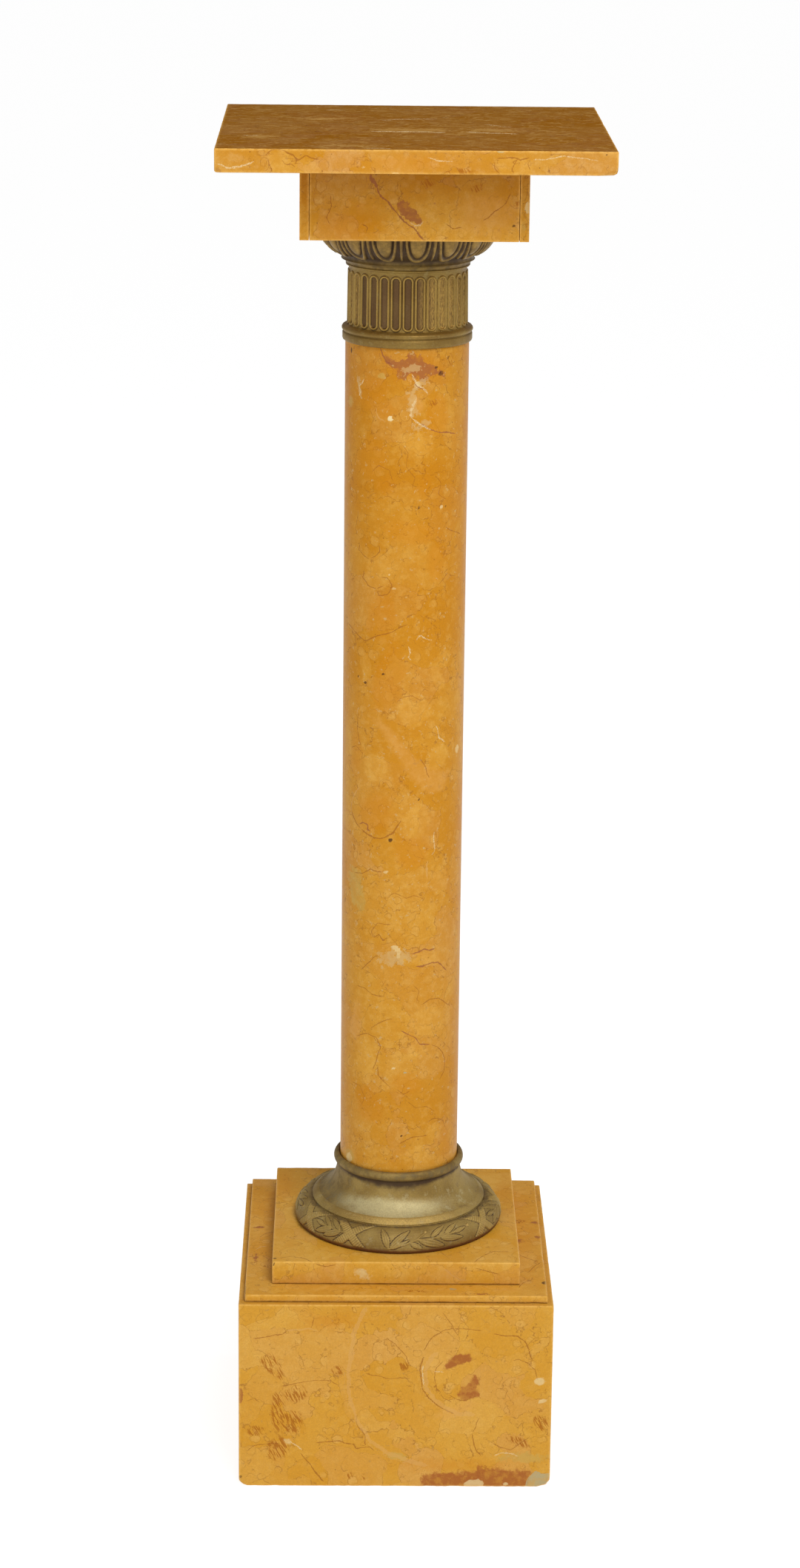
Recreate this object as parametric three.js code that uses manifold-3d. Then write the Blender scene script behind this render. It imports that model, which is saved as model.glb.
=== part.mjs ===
// Marble pedestal: a turned shaft between two gilt brass mounts, on a stepped plinth, under a square slab.
// Millimetres, +Z up. The origin is on the floor, below the middle of the top slab. The front faces -Y.

import * as THREE from 'three';
import { mergeVertices } from 'three/addons/utils/BufferGeometryUtils.js';
import loadManifold from 'manifold-3d';

const wasm = await loadManifold();
wasm.setup();

// Joints between the pieces
const bedJoint = 0.3;
const shaftPlay = 0.4;

// Where the stacked pieces stand, left or right of the top slab's middle
const shaftOffset = -3.2;
const plinthOffset = -5.5;

// Plinth: block, thin slab and upper slab
const plinthWidth = 249;
const plinthHeight = 157.6;
const plinthCorner = 2.5;
const thinSlabWidth = 239.5;
const thinSlabHeight = 5.9;
const upperSlabWidth = 197;
const upperSlabHeight = 18.9;
const upperSlabCorner = 3;

// Shaft
const shaftRadius = 47.4;
const shaftHeight = 728;
const shaftSegments = 48;

// Abacus: a block between two thin side slabs
const abacusWidth = 169.3;
const abacusHeight = 56.5;
const abacusSideThickness = 7;

// Top slab
const topSlabWidth = 290;
const topSlabHeight = 17.3;
const topSlabCorner = 3;

// Eased arrises of the marble, and how deep its broken corners are cut along their diagonals
const arris = 0.8;
const plinthLeftChip = 2.6;
const plinthRightChip = 3.8;
const thinSlabChip = 1.8;
const upperSlabChip = 2;
const topSlabChip = 2;

// Base mount, from the foot up: laurel torus, fillet, bell and collar
const baseSegments = 40;
const torusRadius = 83.8;
const torusUndercut = 1.2;
const torusWidth = 14.2;
const torusRise = 3;
const torusHeight = 18.2;
const grooveStep = 0.4;
const filletWidth = 5.5;
const filletRound = 4.4;
const filletHeight = 4.6;
const bellHeight = 26;
const bellHollow = 1.6;
const bellHollowShare = 0.26;
const bellWall = 1.8;
const collarProjection = 2.9;
const collarHeight = 7.4;
const collarOverlap = 0.6;

// Laurel sprigs and crossed ribbons on the torus, as low relief
const wreathRepeats = 3;
const leafLength = 14;
const leafWidth = 6;
const leafRelief = 1;
const leafRim = 0.25;
const reliefBed = 1;
const ribbonWidth = 6;
const ribbonRelief = 0.7;
const ribbonTilt = 48;
const ribbonSections = 3;
const ribbonAngles = [-26, -63];
const longSprig = { root: -8, tip: 36, pairs: 3 };
const shortSprig = { root: -32, tip: -54, pairs: 1 };
const upperLeaf = { share: 0.68, lean: 34 };
const lowerLeaf = { share: 0.3, lean: -30 };
const tipLeaf = { share: 0.48, lean: 4 };

// Capital, from the foot up: band, shoulder, fluted neck, ring, crown and ovolo
const socketDepth = 6;
const bandWall = 2.4;
const bandRound = 1.4;
const bandHeight = 7.2;
const shoulderHeight = 5;
const neckFootRadius = 45.6;
const neckTopRadius = 45;
const neckHeight = 44.1;
const ringRadius = 47.4;
const ringHeight = 1.8;
const ringGap = 1;
const crownRadius = 50.9;
const crownRound = 3.4;
const crownHeight = 4.6;
const ovoloRadius = 68.4;
const ovoloRound = 22.5;
const ovoloSweep = 78;
const capitalSegments = 40;

// Looped flutes round the neck
const fluteCount = 31;
const fluteTurn = -0.4;
const fluteMargin = 1.3;
const fluteGap = 1.2;
const fluteBead = 1.8;
const fluteRelief = 0.7;
const fluteDepth = 1;

// Eggs, shells and darts: widths as shares of one egg's pitch, feet as shares of the ovolo's face
const eggCount = 16;
const eggTurn = 5.8;
const eggShare = 0.53;
const eggFoot = 0.3;
const eggRelief = 2.3;
const shellShare = 0.68;
const shellFoot = 0.14;
const shellRelief = 1.5;
const hollowShare = 0.79;
const dartRelief = 1.6;
const dartFoot = 0.2;
const eggLevels = [0, 0.2, 0.45, 0.72, 1];

// Heights worked out from the stack
const thinSlabFoot = plinthHeight + bedJoint;
const upperSlabFoot = thinSlabFoot + thinSlabHeight + bedJoint;
const shaftFoot = upperSlabFoot + upperSlabHeight + bedJoint;
const capitalFoot = shaftFoot + shaftHeight + bedJoint - socketDepth;
const neckFoot = bandHeight + shoulderHeight;
const ringFoot = neckFoot + neckHeight;
const crownFoot = ringFoot + ringHeight + ringGap;
const ovoloFoot = crownFoot + crownHeight;
const capitalHeight = ovoloFoot + ovoloRound;
const abacusFoot = capitalFoot + capitalHeight + bedJoint;
const topSlabFoot = abacusFoot + abacusHeight + bedJoint;

// Materials
const marble = { color: 0xcf9a40, roughness: 0.32, metalness: 0 };
const brass = { color: 0x85703c, roughness: 0.45, metalness: 0.9 };

const degrees = Math.PI / 180;

// Points of an elliptical arc, from one angle to another in degrees
function arc(centreR, centreZ, radiusR, radiusZ, from, to, steps) {
  const points = [];
  for (let i = 0; i <= steps; i++) {
    const angle = (from + ((to - from) * i) / steps) * degrees;
    const r = centreR + radiusR * Math.cos(angle);
    const z = centreZ + radiusZ * Math.sin(angle);
    points.push(new THREE.Vector2(r, z));
  }
  return points;
}

const at = (r, z) => new THREE.Vector2(r, z);

// Closed triangle mesh to a solid, and back
function toSolid(geometry) {
  const bare = geometry.index ? geometry.clone() : geometry;
  bare.deleteAttribute('normal');
  bare.deleteAttribute('uv');
  const merged = mergeVertices(bare, 1e-4);
  const vertProperties = new Float32Array(merged.attributes.position.array);
  const triVerts = new Uint32Array(merged.index.array);
  return new wasm.Manifold(new wasm.Mesh({ numProp: 3, vertProperties, triVerts }));
}

function toGeometry(solid) {
  const mesh = solid.getMesh();
  const geometry = new THREE.BufferGeometry();
  geometry.setAttribute('position', new THREE.BufferAttribute(new Float32Array(mesh.vertProperties), 3));
  geometry.setIndex(new THREE.BufferAttribute(new Uint32Array(mesh.triVerts), 1));
  geometry.computeVertexNormals();
  return geometry;
}

function fromFaces(points, faces) {
  const geometry = new THREE.BufferGeometry();
  geometry.setAttribute('position', new THREE.Float32BufferAttribute(points.flat(), 3));
  geometry.setIndex(faces);
  return geometry;
}

// Turned form about the Z axis, its first corner some way round from the front
function turned(profile, segments, start = 0) {
  return new THREE.LatheGeometry(profile, segments, start).rotateX(Math.PI / 2);
}

// Square-cut block with eased arrises, standing on z = 0 with its middle on the axis
function block(width, depth, height, corner) {
  const x = width / 2;
  const y = depth / 2;
  const shape = new THREE.Shape();
  if (corner > 0) {
    shape.absarc(x - corner, y - corner, corner, 0, Math.PI / 2);
    shape.absarc(corner - x, y - corner, corner, Math.PI / 2, Math.PI);
    shape.absarc(corner - x, corner - y, corner, Math.PI, 1.5 * Math.PI);
    shape.absarc(x - corner, corner - y, corner, 1.5 * Math.PI, 2 * Math.PI);
  } else {
    shape.moveTo(-x, -y);
    shape.lineTo(x, -y);
    shape.lineTo(x, y);
    shape.lineTo(-x, y);
  }
  const solid = new THREE.ExtrudeGeometry(shape, {
    depth: height - 2 * arris,
    bevelThickness: arris,
    bevelSize: arris,
    bevelOffset: -arris,
    bevelSegments: 1,
    curveSegments: 1,
  });
  return solid.translate(0, 0, arris);
}

// Cuts a corner off a block: side says which corner, depth how far in along the diagonal
function chipped(solid, width, height, side, depth) {
  const corner = new THREE.Vector3((side[0] * width) / 2, (side[1] * width) / 2, side[2] > 0 ? height : 0);
  const outward = new THREE.Vector3(...side).normalize();
  const size = 12 * depth;
  const cutter = new THREE.BoxGeometry(size, size, size);
  const turn = new THREE.Quaternion().setFromUnitVectors(new THREE.Vector3(0, 0, 1), outward);
  cutter.applyQuaternion(turn);
  const middle = corner.addScaledVector(outward, size / 2 - depth);
  cutter.translate(middle.x, middle.y, middle.z);
  return solid.subtract(toSolid(cutter));
}

// Base mount, its foot on z = 0
const boreRadius = shaftRadius + shaftPlay;
const torusInner = torusRadius - torusWidth;
const filletRadius = torusInner + grooveStep;
const bellFoot = torusHeight + grooveStep + filletHeight;
const bellNeck = bellFoot + bellHeight;
const bellNeckRadius = boreRadius + bellWall;
const collarMiddle = bellNeck + collarHeight / 2 - collarOverlap;

function baseProfile() {
  const bell = new THREE.QuadraticBezierCurve(
    at(filletRadius - filletWidth, bellFoot),
    at(bellNeckRadius + bellHollow, bellFoot + bellHeight * bellHollowShare),
    at(bellNeckRadius, bellNeck),
  );
  return [
    at(boreRadius, 0),
    at(torusRadius - torusUndercut, 0),
    ...arc(torusInner, torusRise, torusWidth, torusHeight - torusRise, 0, 88, 4),
    ...arc(filletRadius - filletRound, torusHeight + grooveStep, filletRound, filletHeight, 0, 90, 2),
    ...bell.getPoints(3),
    ...arc(bellNeckRadius, collarMiddle, collarProjection, collarHeight / 2, -70, 80, 3),
    at(boreRadius, collarMiddle + collarHeight / 2),
    at(boreRadius, 0),
  ];
}

// A place on the torus: angle round it in degrees, share of the way up its face, and height off it
function onTorus(angle, share, height) {
  const rise = share * 88 * degrees;
  const r = torusInner + (torusWidth + height) * Math.cos(rise);
  const z = torusRise + (torusHeight - torusRise + height) * Math.sin(rise);
  return [r * Math.sin(angle * degrees), -r * Math.cos(angle * degrees), z];
}

// Length of the torus's face from its foot to the groove
const torusFace = (Math.PI / 4) * (torusWidth + torusHeight - torusRise);

// A place in millimetres along and across a tilted line through a point of the torus
function beside(angle, share, tilt, along, across, height) {
  const c = Math.cos(tilt * degrees);
  const s = Math.sin(tilt * degrees);
  const turn = (along * c - across * s) / (torusRadius * degrees);
  return onTorus(angle + turn, share + (along * s + across * c) / torusFace, height);
}

// A low closed pad on the torus, roofed from the rim of its outline to one crest
function pad(angle, share, tilt, outline, rim, top) {
  const n = outline.length;
  const bed = outline.map(([along, across]) => beside(angle, share, tilt, along, across, -reliefBed));
  const edge = outline.map(([along, across]) => beside(angle, share, tilt, along, across, rim));
  const points = [...bed, ...edge, onTorus(angle, share, top)];
  const faces = [];
  for (let i = 1; i < n - 1; i++) faces.push(0, i + 1, i);
  for (let i = 0; i < n; i++) {
    const j = (i + 1) % n;
    faces.push(i, j, n + j);
    faces.push(i, n + j, n + i);
    faces.push(n + i, n + j, 2 * n);
  }
  return toSolid(fromFaces(points, faces));
}

// A low flat band that follows the torus
function strap(angle, share, tilt) {
  const w = ribbonWidth / 2;
  const section = [[-w, -reliefBed], [w, -reliefBed], [w, ribbonRelief], [-w, ribbonRelief]];
  const points = [];
  for (let i = 0; i <= ribbonSections; i++) {
    const along = torusFace * (i / ribbonSections - 0.5);
    for (const [across, height] of section) points.push(beside(angle, share, tilt, along, across, height));
  }
  const faces = [0, 2, 1, 0, 3, 2];
  for (let i = 0; i < 4 * ribbonSections; i += 4) {
    for (let k = 0; k < 4; k++) {
      const next = (k + 1) % 4;
      faces.push(i + k, i + next, i + 4 + next);
      faces.push(i + k, i + 4 + next, i + 4 + k);
    }
  }
  const end = 4 * ribbonSections;
  faces.push(end, end + 1, end + 2, end, end + 2, end + 3);
  return toSolid(fromFaces(points, faces));
}

function leaf(angle, share, tilt) {
  const l = leafLength / 2;
  const w = leafWidth / 2;
  const outline = [[-l, 0], [-l / 4, -w], [l, 0], [-l / 4, w]];
  return pad(angle, share, tilt, outline, leafRim, leafRelief);
}

// Leaves of one sprig in pairs along its stem, with one at its tip
function sprig({ root, tip, pairs }, start) {
  const step = (tip - root) / (pairs + 0.5);
  const place = (angle, { share, lean }) => leaf(start + angle, share, tip > root ? lean : 180 - lean);
  const leaves = [place(tip, tipLeaf)];
  for (let i = 0; i < pairs; i++) {
    const angle = root + step * (i + 0.5);
    leaves.push(place(angle, upperLeaf));
    leaves.push(place(angle + step / 3, lowerLeaf));
  }
  return leaves;
}

// Two bands that cross on the torus's face
function crossedRibbons(angle) {
  return [strap(angle, 0.5, ribbonTilt), strap(angle, 0.5, 180 - ribbonTilt)];
}

function baseMount() {
  let solid = toSolid(turned(baseProfile(), baseSegments));
  for (let i = 0; i < wreathRepeats; i++) {
    const start = (360 / wreathRepeats) * i;
    const relief = [...sprig(longSprig, start), ...sprig(shortSprig, start)];
    for (const angle of ribbonAngles) relief.push(...crossedRibbons(start + angle));
    for (const raised of relief) solid = solid.add(raised);
  }
  return toGeometry(solid);
}

// Capital below its ovolo, its foot on z = 0, with a socket for the top of the shaft
const socketRadius = shaftRadius + bedJoint;
const bandRadius = socketRadius + bandWall;

const footProfile = [
  at(0, socketDepth),
  at(socketRadius, socketDepth),
  at(socketRadius, 0),
  ...arc(bandRadius - bandRound, bandHeight / 2, bandRound, bandHeight / 2, -90, 60, 3),
  at((bandRadius + neckFootRadius) / 2 - 0.5, neckFoot - shoulderHeight / 2),
  at(neckFootRadius + 0.6, neckFoot),
  at(0, neckFoot),
];
const headProfile = [
  at(0, ringFoot),
  at(neckTopRadius + 0.6, ringFoot),
  at(ringRadius, ringFoot + ringHeight / 2),
  at(ringRadius, ringFoot + ringHeight),
  ...arc(crownRadius - crownRound, ovoloFoot - crownHeight / 5, crownRound, crownHeight * 0.8, -90, 0, 2),
  at(crownRadius - crownRound / 6, ovoloFoot + crownHeight / 6),
  at(0, ovoloFoot + crownHeight / 6),
];

// Neck with one flat facet for each flute
function neck() {
  const corner = 1 / Math.cos(Math.PI / fluteCount);
  const outline = [
    at(0, neckFoot - 1),
    at(neckFootRadius * corner, neckFoot - 1),
    at(neckTopRadius * corner, ringFoot + 1),
    at(0, ringFoot + 1),
  ];
  return turned(outline, fluteCount, Math.PI / fluteCount);
}

// Upright slot with round ends
function slot(width, length) {
  const r = width / 2;
  const points = [];
  for (const [way, from] of [[1, 0], [-1, 180]]) {
    for (let step = 0; step < 4; step++) {
      const angle = (from + step * 60) * degrees;
      points.push(at(r * Math.cos(angle), way * (length / 2 - r) + r * Math.sin(angle)));
    }
  }
  return new THREE.Shape(points);
}

// A slot cut or raised on the front of the neck, between two distances from the axis
function neckSlot(shape, inner, outer) {
  const solid = new THREE.ExtrudeGeometry(shape, { depth: outer - inner, bevelEnabled: false });
  return toSolid(solid.rotateX(Math.PI / 2).translate(0, -inner, neckFoot + neckHeight / 2));
}

// A solid turned about the Z axis
function swung(solid, angle) {
  return solid.transform(new THREE.Matrix4().makeRotationZ(angle * degrees).elements);
}

// Half width at a level of an oval that hangs from the ovolo's top edge
const ovalShare = (level, foot) => Math.sqrt(Math.max(0, 1 - ((1 - level) / (1 - foot)) ** 2));

// One pitch of the ovolo at a level: places across in pitches, with their heights over the ground
function eggRow(level) {
  const egg = Math.max(0.03, (eggShare / 2) * ovalShare(level, eggFoot));
  const shell = Math.max(0.06, (shellShare / 2) * ovalShare(level, shellFoot));
  const hollow = Math.max(0.12, (hollowShare / 2) * ovalShare(level, 0));
  const rise = eggRelief * ovalShare(level, eggFoot);
  const rim = level > shellFoot ? shellRelief : 0;
  const dart = level > dartFoot ? dartRelief : 0;
  const half = [[hollow, 0], [shell, rim], [egg, 0], [egg * 0.6, rise * 0.8]];
  const left = half.map(([across, height]) => [-across, height]);
  return [[-0.5, dart], ...left, [0, rise], ...half.reverse()];
}

// Solid disc with the egg-and-dart ovolo on its edge
function ovoloDisc() {
  const centreR = ovoloRadius - ovoloRound;
  const points = [[0, 0, ovoloFoot]];
  for (const level of eggLevels) {
    const slope = ovoloSweep * (1 - level) * degrees;
    for (let egg = 0; egg < eggCount; egg++) {
      for (const [across, height] of eggRow(level)) {
        const radius = ovoloRound - eggRelief + height;
        const r = centreR + radius * Math.cos(slope);
        const angle = ((egg + across) / eggCount) * 2 * Math.PI;
        points.push([r * Math.sin(angle), -r * Math.cos(angle), capitalHeight - radius * Math.sin(slope)]);
      }
    }
  }
  points.push([0, 0, capitalHeight]);
  const rows = eggLevels.length - 1;
  const last = points.length - 1;
  const columns = (last - 1) / (rows + 1);
  const vertex = (row, column) => 1 + row * columns + (column % columns);
  const faces = [];
  for (let column = 0; column < columns; column++) {
    faces.push(0, vertex(0, column + 1), vertex(0, column));
    faces.push(last, vertex(rows, column), vertex(rows, column + 1));
    for (let row = 0; row < rows; row++) {
      faces.push(vertex(row, column), vertex(row, column + 1), vertex(row + 1, column + 1));
      faces.push(vertex(row, column), vertex(row + 1, column + 1), vertex(row + 1, column));
    }
  }
  return fromFaces(points, faces).rotateZ(eggTurn * degrees);
}

function capital() {
  const ground = (neckFootRadius + neckTopRadius) / 2;
  const width = (2 * Math.PI * ground) / fluteCount - fluteGap;
  const length = neckHeight - 2 * fluteMargin;
  const hollow = slot(width - 2 * fluteBead, length - 2 * fluteBead);
  const loop = neckSlot(slot(width, length), ground - 2 * fluteDepth, ground + fluteRelief);
  const recess = neckSlot(hollow, ground - fluteDepth, ground + 2 * fluteRelief);
  let fluted = toSolid(neck());
  for (let i = 0; i < fluteCount; i++) {
    const angle = (360 / fluteCount) * i;
    fluted = fluted.add(swung(loop, angle)).subtract(swung(recess, angle));
  }
  let solid = swung(fluted, fluteTurn);
  for (const profile of [footProfile, headProfile]) {
    solid = solid.add(toSolid(turned(profile, capitalSegments)));
  }
  return toGeometry(solid.add(toSolid(ovoloDisc())));
}

// A square marble slab or block, less its broken corners
function squareBlock(width, height, corner, chips) {
  let solid = toSolid(block(width, width, height, corner));
  for (const { side, depth } of chips) solid = chipped(solid, width, height, side, depth);
  return toGeometry(solid);
}

const plinthBlock = squareBlock(plinthWidth, plinthHeight, plinthCorner, [
  { side: [-1, -1, -1], depth: plinthLeftChip },
  { side: [1, -1, -1], depth: plinthRightChip },
]);
const thinSlab = squareBlock(thinSlabWidth, thinSlabHeight, 0, [{ side: [-1, -1, -1], depth: thinSlabChip }]);
const upperSlab = squareBlock(upperSlabWidth, upperSlabHeight, upperSlabCorner, [
  { side: [-1, -1, 1], depth: upperSlabChip },
]);
const topSlab = squareBlock(topSlabWidth, topSlabHeight, topSlabCorner, [
  { side: [1, -1, -1], depth: topSlabChip },
]);

const shaft = new THREE.CylinderGeometry(shaftRadius, shaftRadius, shaftHeight, shaftSegments);
shaft.rotateX(Math.PI / 2).translate(0, 0, shaftHeight / 2);

const abacusBlockWidth = abacusWidth - 2 * (abacusSideThickness + bedJoint);
const abacusBlock = block(abacusBlockWidth, abacusWidth, abacusHeight, 0);
const abacusSide = block(abacusSideThickness, abacusWidth, abacusHeight, 0);
const abacusSideX = (abacusWidth - abacusSideThickness) / 2;

// The whole pedestal, from the floor up
const pedestal = new THREE.Group();

function piece(name, geometry, look, x, z) {
  const mesh = new THREE.Mesh(geometry, new THREE.MeshStandardMaterial(look));
  mesh.name = name;
  mesh.position.set(x, 0, z);
  pedestal.add(mesh);
}

piece('plinth_block', plinthBlock, marble, plinthOffset, 0);
piece('plinth_thin_slab', thinSlab, marble, plinthOffset, thinSlabFoot);
piece('plinth_upper_slab', upperSlab, marble, plinthOffset, upperSlabFoot);
piece('base_mount', baseMount(), brass, shaftOffset, shaftFoot);
piece('shaft', shaft, marble, shaftOffset, shaftFoot);
piece('capital', capital(), brass, shaftOffset, capitalFoot);
piece('abacus_block', abacusBlock, marble, 0, abacusFoot);
piece('abacus_side_left', abacusSide, marble, -abacusSideX, abacusFoot);
piece('abacus_side_right', abacusSide.clone(), marble, abacusSideX, abacusFoot);
piece('top_slab', topSlab, marble, 0, topSlabFoot);

export default pedestal;
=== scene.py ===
"""Marble pedestal with gilt brass mounts: camera, meshes, procedural marble and brass, floor and light.

Sizes are millimetres in the row frame (+Z up, front facing -Y) until a mesh is made, and metres after that.
"""

import math

import bpy
import numpy as np
from mathutils import Matrix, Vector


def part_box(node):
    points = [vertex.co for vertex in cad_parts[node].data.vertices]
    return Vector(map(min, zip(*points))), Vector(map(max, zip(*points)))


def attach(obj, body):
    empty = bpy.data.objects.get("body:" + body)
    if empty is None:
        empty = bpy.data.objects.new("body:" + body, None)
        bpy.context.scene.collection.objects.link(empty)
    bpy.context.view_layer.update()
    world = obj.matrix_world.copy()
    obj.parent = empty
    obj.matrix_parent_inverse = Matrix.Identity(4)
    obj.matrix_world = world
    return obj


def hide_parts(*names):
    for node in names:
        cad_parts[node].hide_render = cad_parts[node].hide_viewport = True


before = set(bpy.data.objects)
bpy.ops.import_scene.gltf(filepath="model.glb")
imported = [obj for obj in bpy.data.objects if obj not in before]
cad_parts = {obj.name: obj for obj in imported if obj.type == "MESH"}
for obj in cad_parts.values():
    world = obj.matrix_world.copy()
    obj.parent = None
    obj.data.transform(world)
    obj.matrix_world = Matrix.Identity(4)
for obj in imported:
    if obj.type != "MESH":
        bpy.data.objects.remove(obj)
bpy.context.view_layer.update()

MM = 0.001


def node_box(node):
    """Lowest and highest corner of a CAD node, in millimetres."""
    low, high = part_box(node)
    return np.array(low) / MM, np.array(high) / MM


# Camera

# The camera as fitted to the photograph: place in millimetres, angles in degrees, focal length in pixels
IMAGE_WIDTH = 1080
IMAGE_HEIGHT = 2118
CAMERA_PLACE = np.array([-43.84, -2859.9, 1393.75])
CAMERA_PITCH = 16.434
CAMERA_YAW = 0.775
CAMERA_ROLL = -0.603
FOCAL_PIXELS = 5087.27
SENSOR = 36.0

pitch, yaw, roll = (math.radians(v) for v in (CAMERA_PITCH, CAMERA_YAW, CAMERA_ROLL))
forward = np.array([math.sin(yaw) * math.cos(pitch), math.cos(yaw) * math.cos(pitch), -math.sin(pitch)])
level_right = np.array([math.cos(yaw), -math.sin(yaw), 0.0])
level_down = np.cross(forward, level_right)
right = math.cos(roll) * level_right + math.sin(roll) * level_down
down = -math.sin(roll) * level_right + math.cos(roll) * level_down
camera_data = bpy.data.cameras.new("camera")
camera_data.sensor_width = SENSOR
camera_data.lens = FOCAL_PIXELS / IMAGE_HEIGHT * SENSOR
camera = bpy.data.objects.new("camera", camera_data)
bpy.context.scene.collection.objects.link(camera)
camera.matrix_world = Matrix(
    [(right[i], -down[i], -forward[i], CAMERA_PLACE[i] * MM) for i in range(3)] + [(0, 0, 0, 1)]
)
bpy.context.scene.camera = camera


def sight(x, y):
    """Direction from the camera through a pixel of the photograph."""
    return forward * FOCAL_PIXELS + right * (x - IMAGE_WIDTH / 2) + down * (y - IMAGE_HEIGHT / 2)


def on_plane(axis, level):
    """A function from a photograph pixel to the two other coordinates on a plane across an axis."""
    others = [a for a in range(3) if a != axis]

    def place(x, y):
        way = sight(x, y)
        hit = CAMERA_PLACE + way * ((level - CAMERA_PLACE[axis]) / way[axis])
        return hit[others[0]], hit[others[1]]

    return place


def on_tube(centre_x, radius):
    """A function from a photograph pixel to arc length from the front, and height, on an upright tube."""

    def place(x, y):
        way = sight(x, y)
        ox, oy = CAMERA_PLACE[0] - centre_x, CAMERA_PLACE[1]
        a = way[0] ** 2 + way[1] ** 2
        b = ox * way[0] + oy * way[1]
        c = ox**2 + oy**2 - radius**2
        t = (-b - math.sqrt(max(b * b - a * c, 0))) / a
        hit = CAMERA_PLACE + way * t
        return math.atan2(hit[0] - centre_x, -hit[1]) * radius, hit[2]

    return place


# Mesh tools

# The last word of the names of each slot's pieces
SLOT_WORDS = {"marble": "stone", "brass": "brass"}


def build_mesh(node, slot, points, quads, material, attributes):
    """A smooth mesh piece from points in millimetres, which stands for a CAD node."""
    name = f"{node}_{SLOT_WORDS[slot]}"
    mesh = bpy.data.meshes.new(name)
    mesh.vertices.add(len(points))
    mesh.vertices.foreach_set("co", (np.asarray(points) * MM).astype(np.float32).ravel())
    quads = np.asarray(quads, np.int32)
    mesh.loops.add(quads.size)
    mesh.loops.foreach_set("vertex_index", quads.ravel())
    mesh.polygons.add(len(quads))
    mesh.polygons.foreach_set("loop_start", np.arange(len(quads), dtype=np.int32) * 4)
    mesh.update(calc_edges=True)
    mesh.validate()
    mesh.polygons.foreach_set("use_smooth", np.ones(len(mesh.polygons), bool))
    for key, values in attributes.items():
        mesh.attributes.new(key, "FLOAT", "POINT").data.foreach_set("value", values.astype(np.float32))
    mesh.materials.append(material)
    piece = bpy.data.objects.new(name, mesh)
    bpy.context.scene.collection.objects.link(piece)
    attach(piece, "root")
    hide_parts(node)


# How far a seed moves the value noise, and the numbers that scramble its cells
SEED_SHIFT = 17.31
HASH_WAY = np.array([127.1, 311.7, 74.7])
HASH_SCALE = 43758.5453


def lattice(points, size, seed):
    """Smooth value noise from 0 to 1 at points, with cells of a size in millimetres."""
    q = points / size + seed * SEED_SHIFT
    cell = np.floor(q)
    f = q - cell
    f = f * f * (3 - 2 * f)
    total = np.zeros(len(points))
    for dx in (0, 1):
        for dy in (0, 1):
            for dz in (0, 1):
                corner = cell + (dx, dy, dz)
                value = np.abs(np.sin(corner @ HASH_WAY) * HASH_SCALE) % 1
                weight = np.ones(len(points))
                for axis, d in enumerate((dx, dy, dz)):
                    weight *= f[:, axis] if d else 1 - f[:, axis]
                total += value * weight
    return total


# Distances of the grid's closest lines from the edge of a face
EDGE_LINES = np.array([0, 0.2, 0.45, 0.8, 1.3, 2.0, 3.0, 4.5, 6.5])
# Width of the pale stone along an arris
PALE_EDGE = 1.7
# Ease of the slabs' arrises, and the sizes of the uneven wear on them
SLAB_EASE = 0.8
LARGE_WEAR = 9.0
SMALL_WEAR = 3.1


def face_lines(length, step):
    """Grid lines across a face, close together beside its edges."""
    near = EDGE_LINES
    if length < 4 * near[-1]:
        near = near[near < length * 0.3]
    count = max(2, round((length - 2 * near[-1]) / step))
    middle = np.linspace(near[-1], length - near[-1], count + 1)[1:-1]
    return np.concatenate([near, middle, length - near[::-1]])


def box_grid(low, high, steps):
    """Points and quads of a closed box whose six faces are grids."""
    lines = [low[axis] + face_lines(high[axis] - low[axis], steps[axis]) for axis in range(3)]
    points = []
    quads = []
    start = 0
    for axis in range(3):
        u, v = [a for a in range(3) if a != axis]
        for side in (0, 1):
            a, b = np.meshgrid(lines[u], lines[v], indexing="ij")
            face = np.empty(a.shape + (3,))
            face[..., u] = a
            face[..., v] = b
            face[..., axis] = high[axis] if side else low[axis]
            rows, columns = a.shape
            index = start + np.arange(rows * columns).reshape(rows, columns)
            ring = [index[:-1, :-1], index[1:, :-1], index[1:, 1:], index[:-1, 1:]]
            outward = (side == 1) != (axis == 1)
            quads.append(np.stack(ring if outward else ring[::-1], -1).reshape(-1, 4))
            points.append(face.reshape(-1, 3))
            start += rows * columns
    points = np.concatenate(points)
    quads = np.concatenate(quads)
    hundredths = np.round(points * 100).astype(np.int64)
    _, first, index = np.unique(hundredths, axis=0, return_index=True, return_inverse=True)
    return points[first], index.ravel()[quads]


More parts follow.
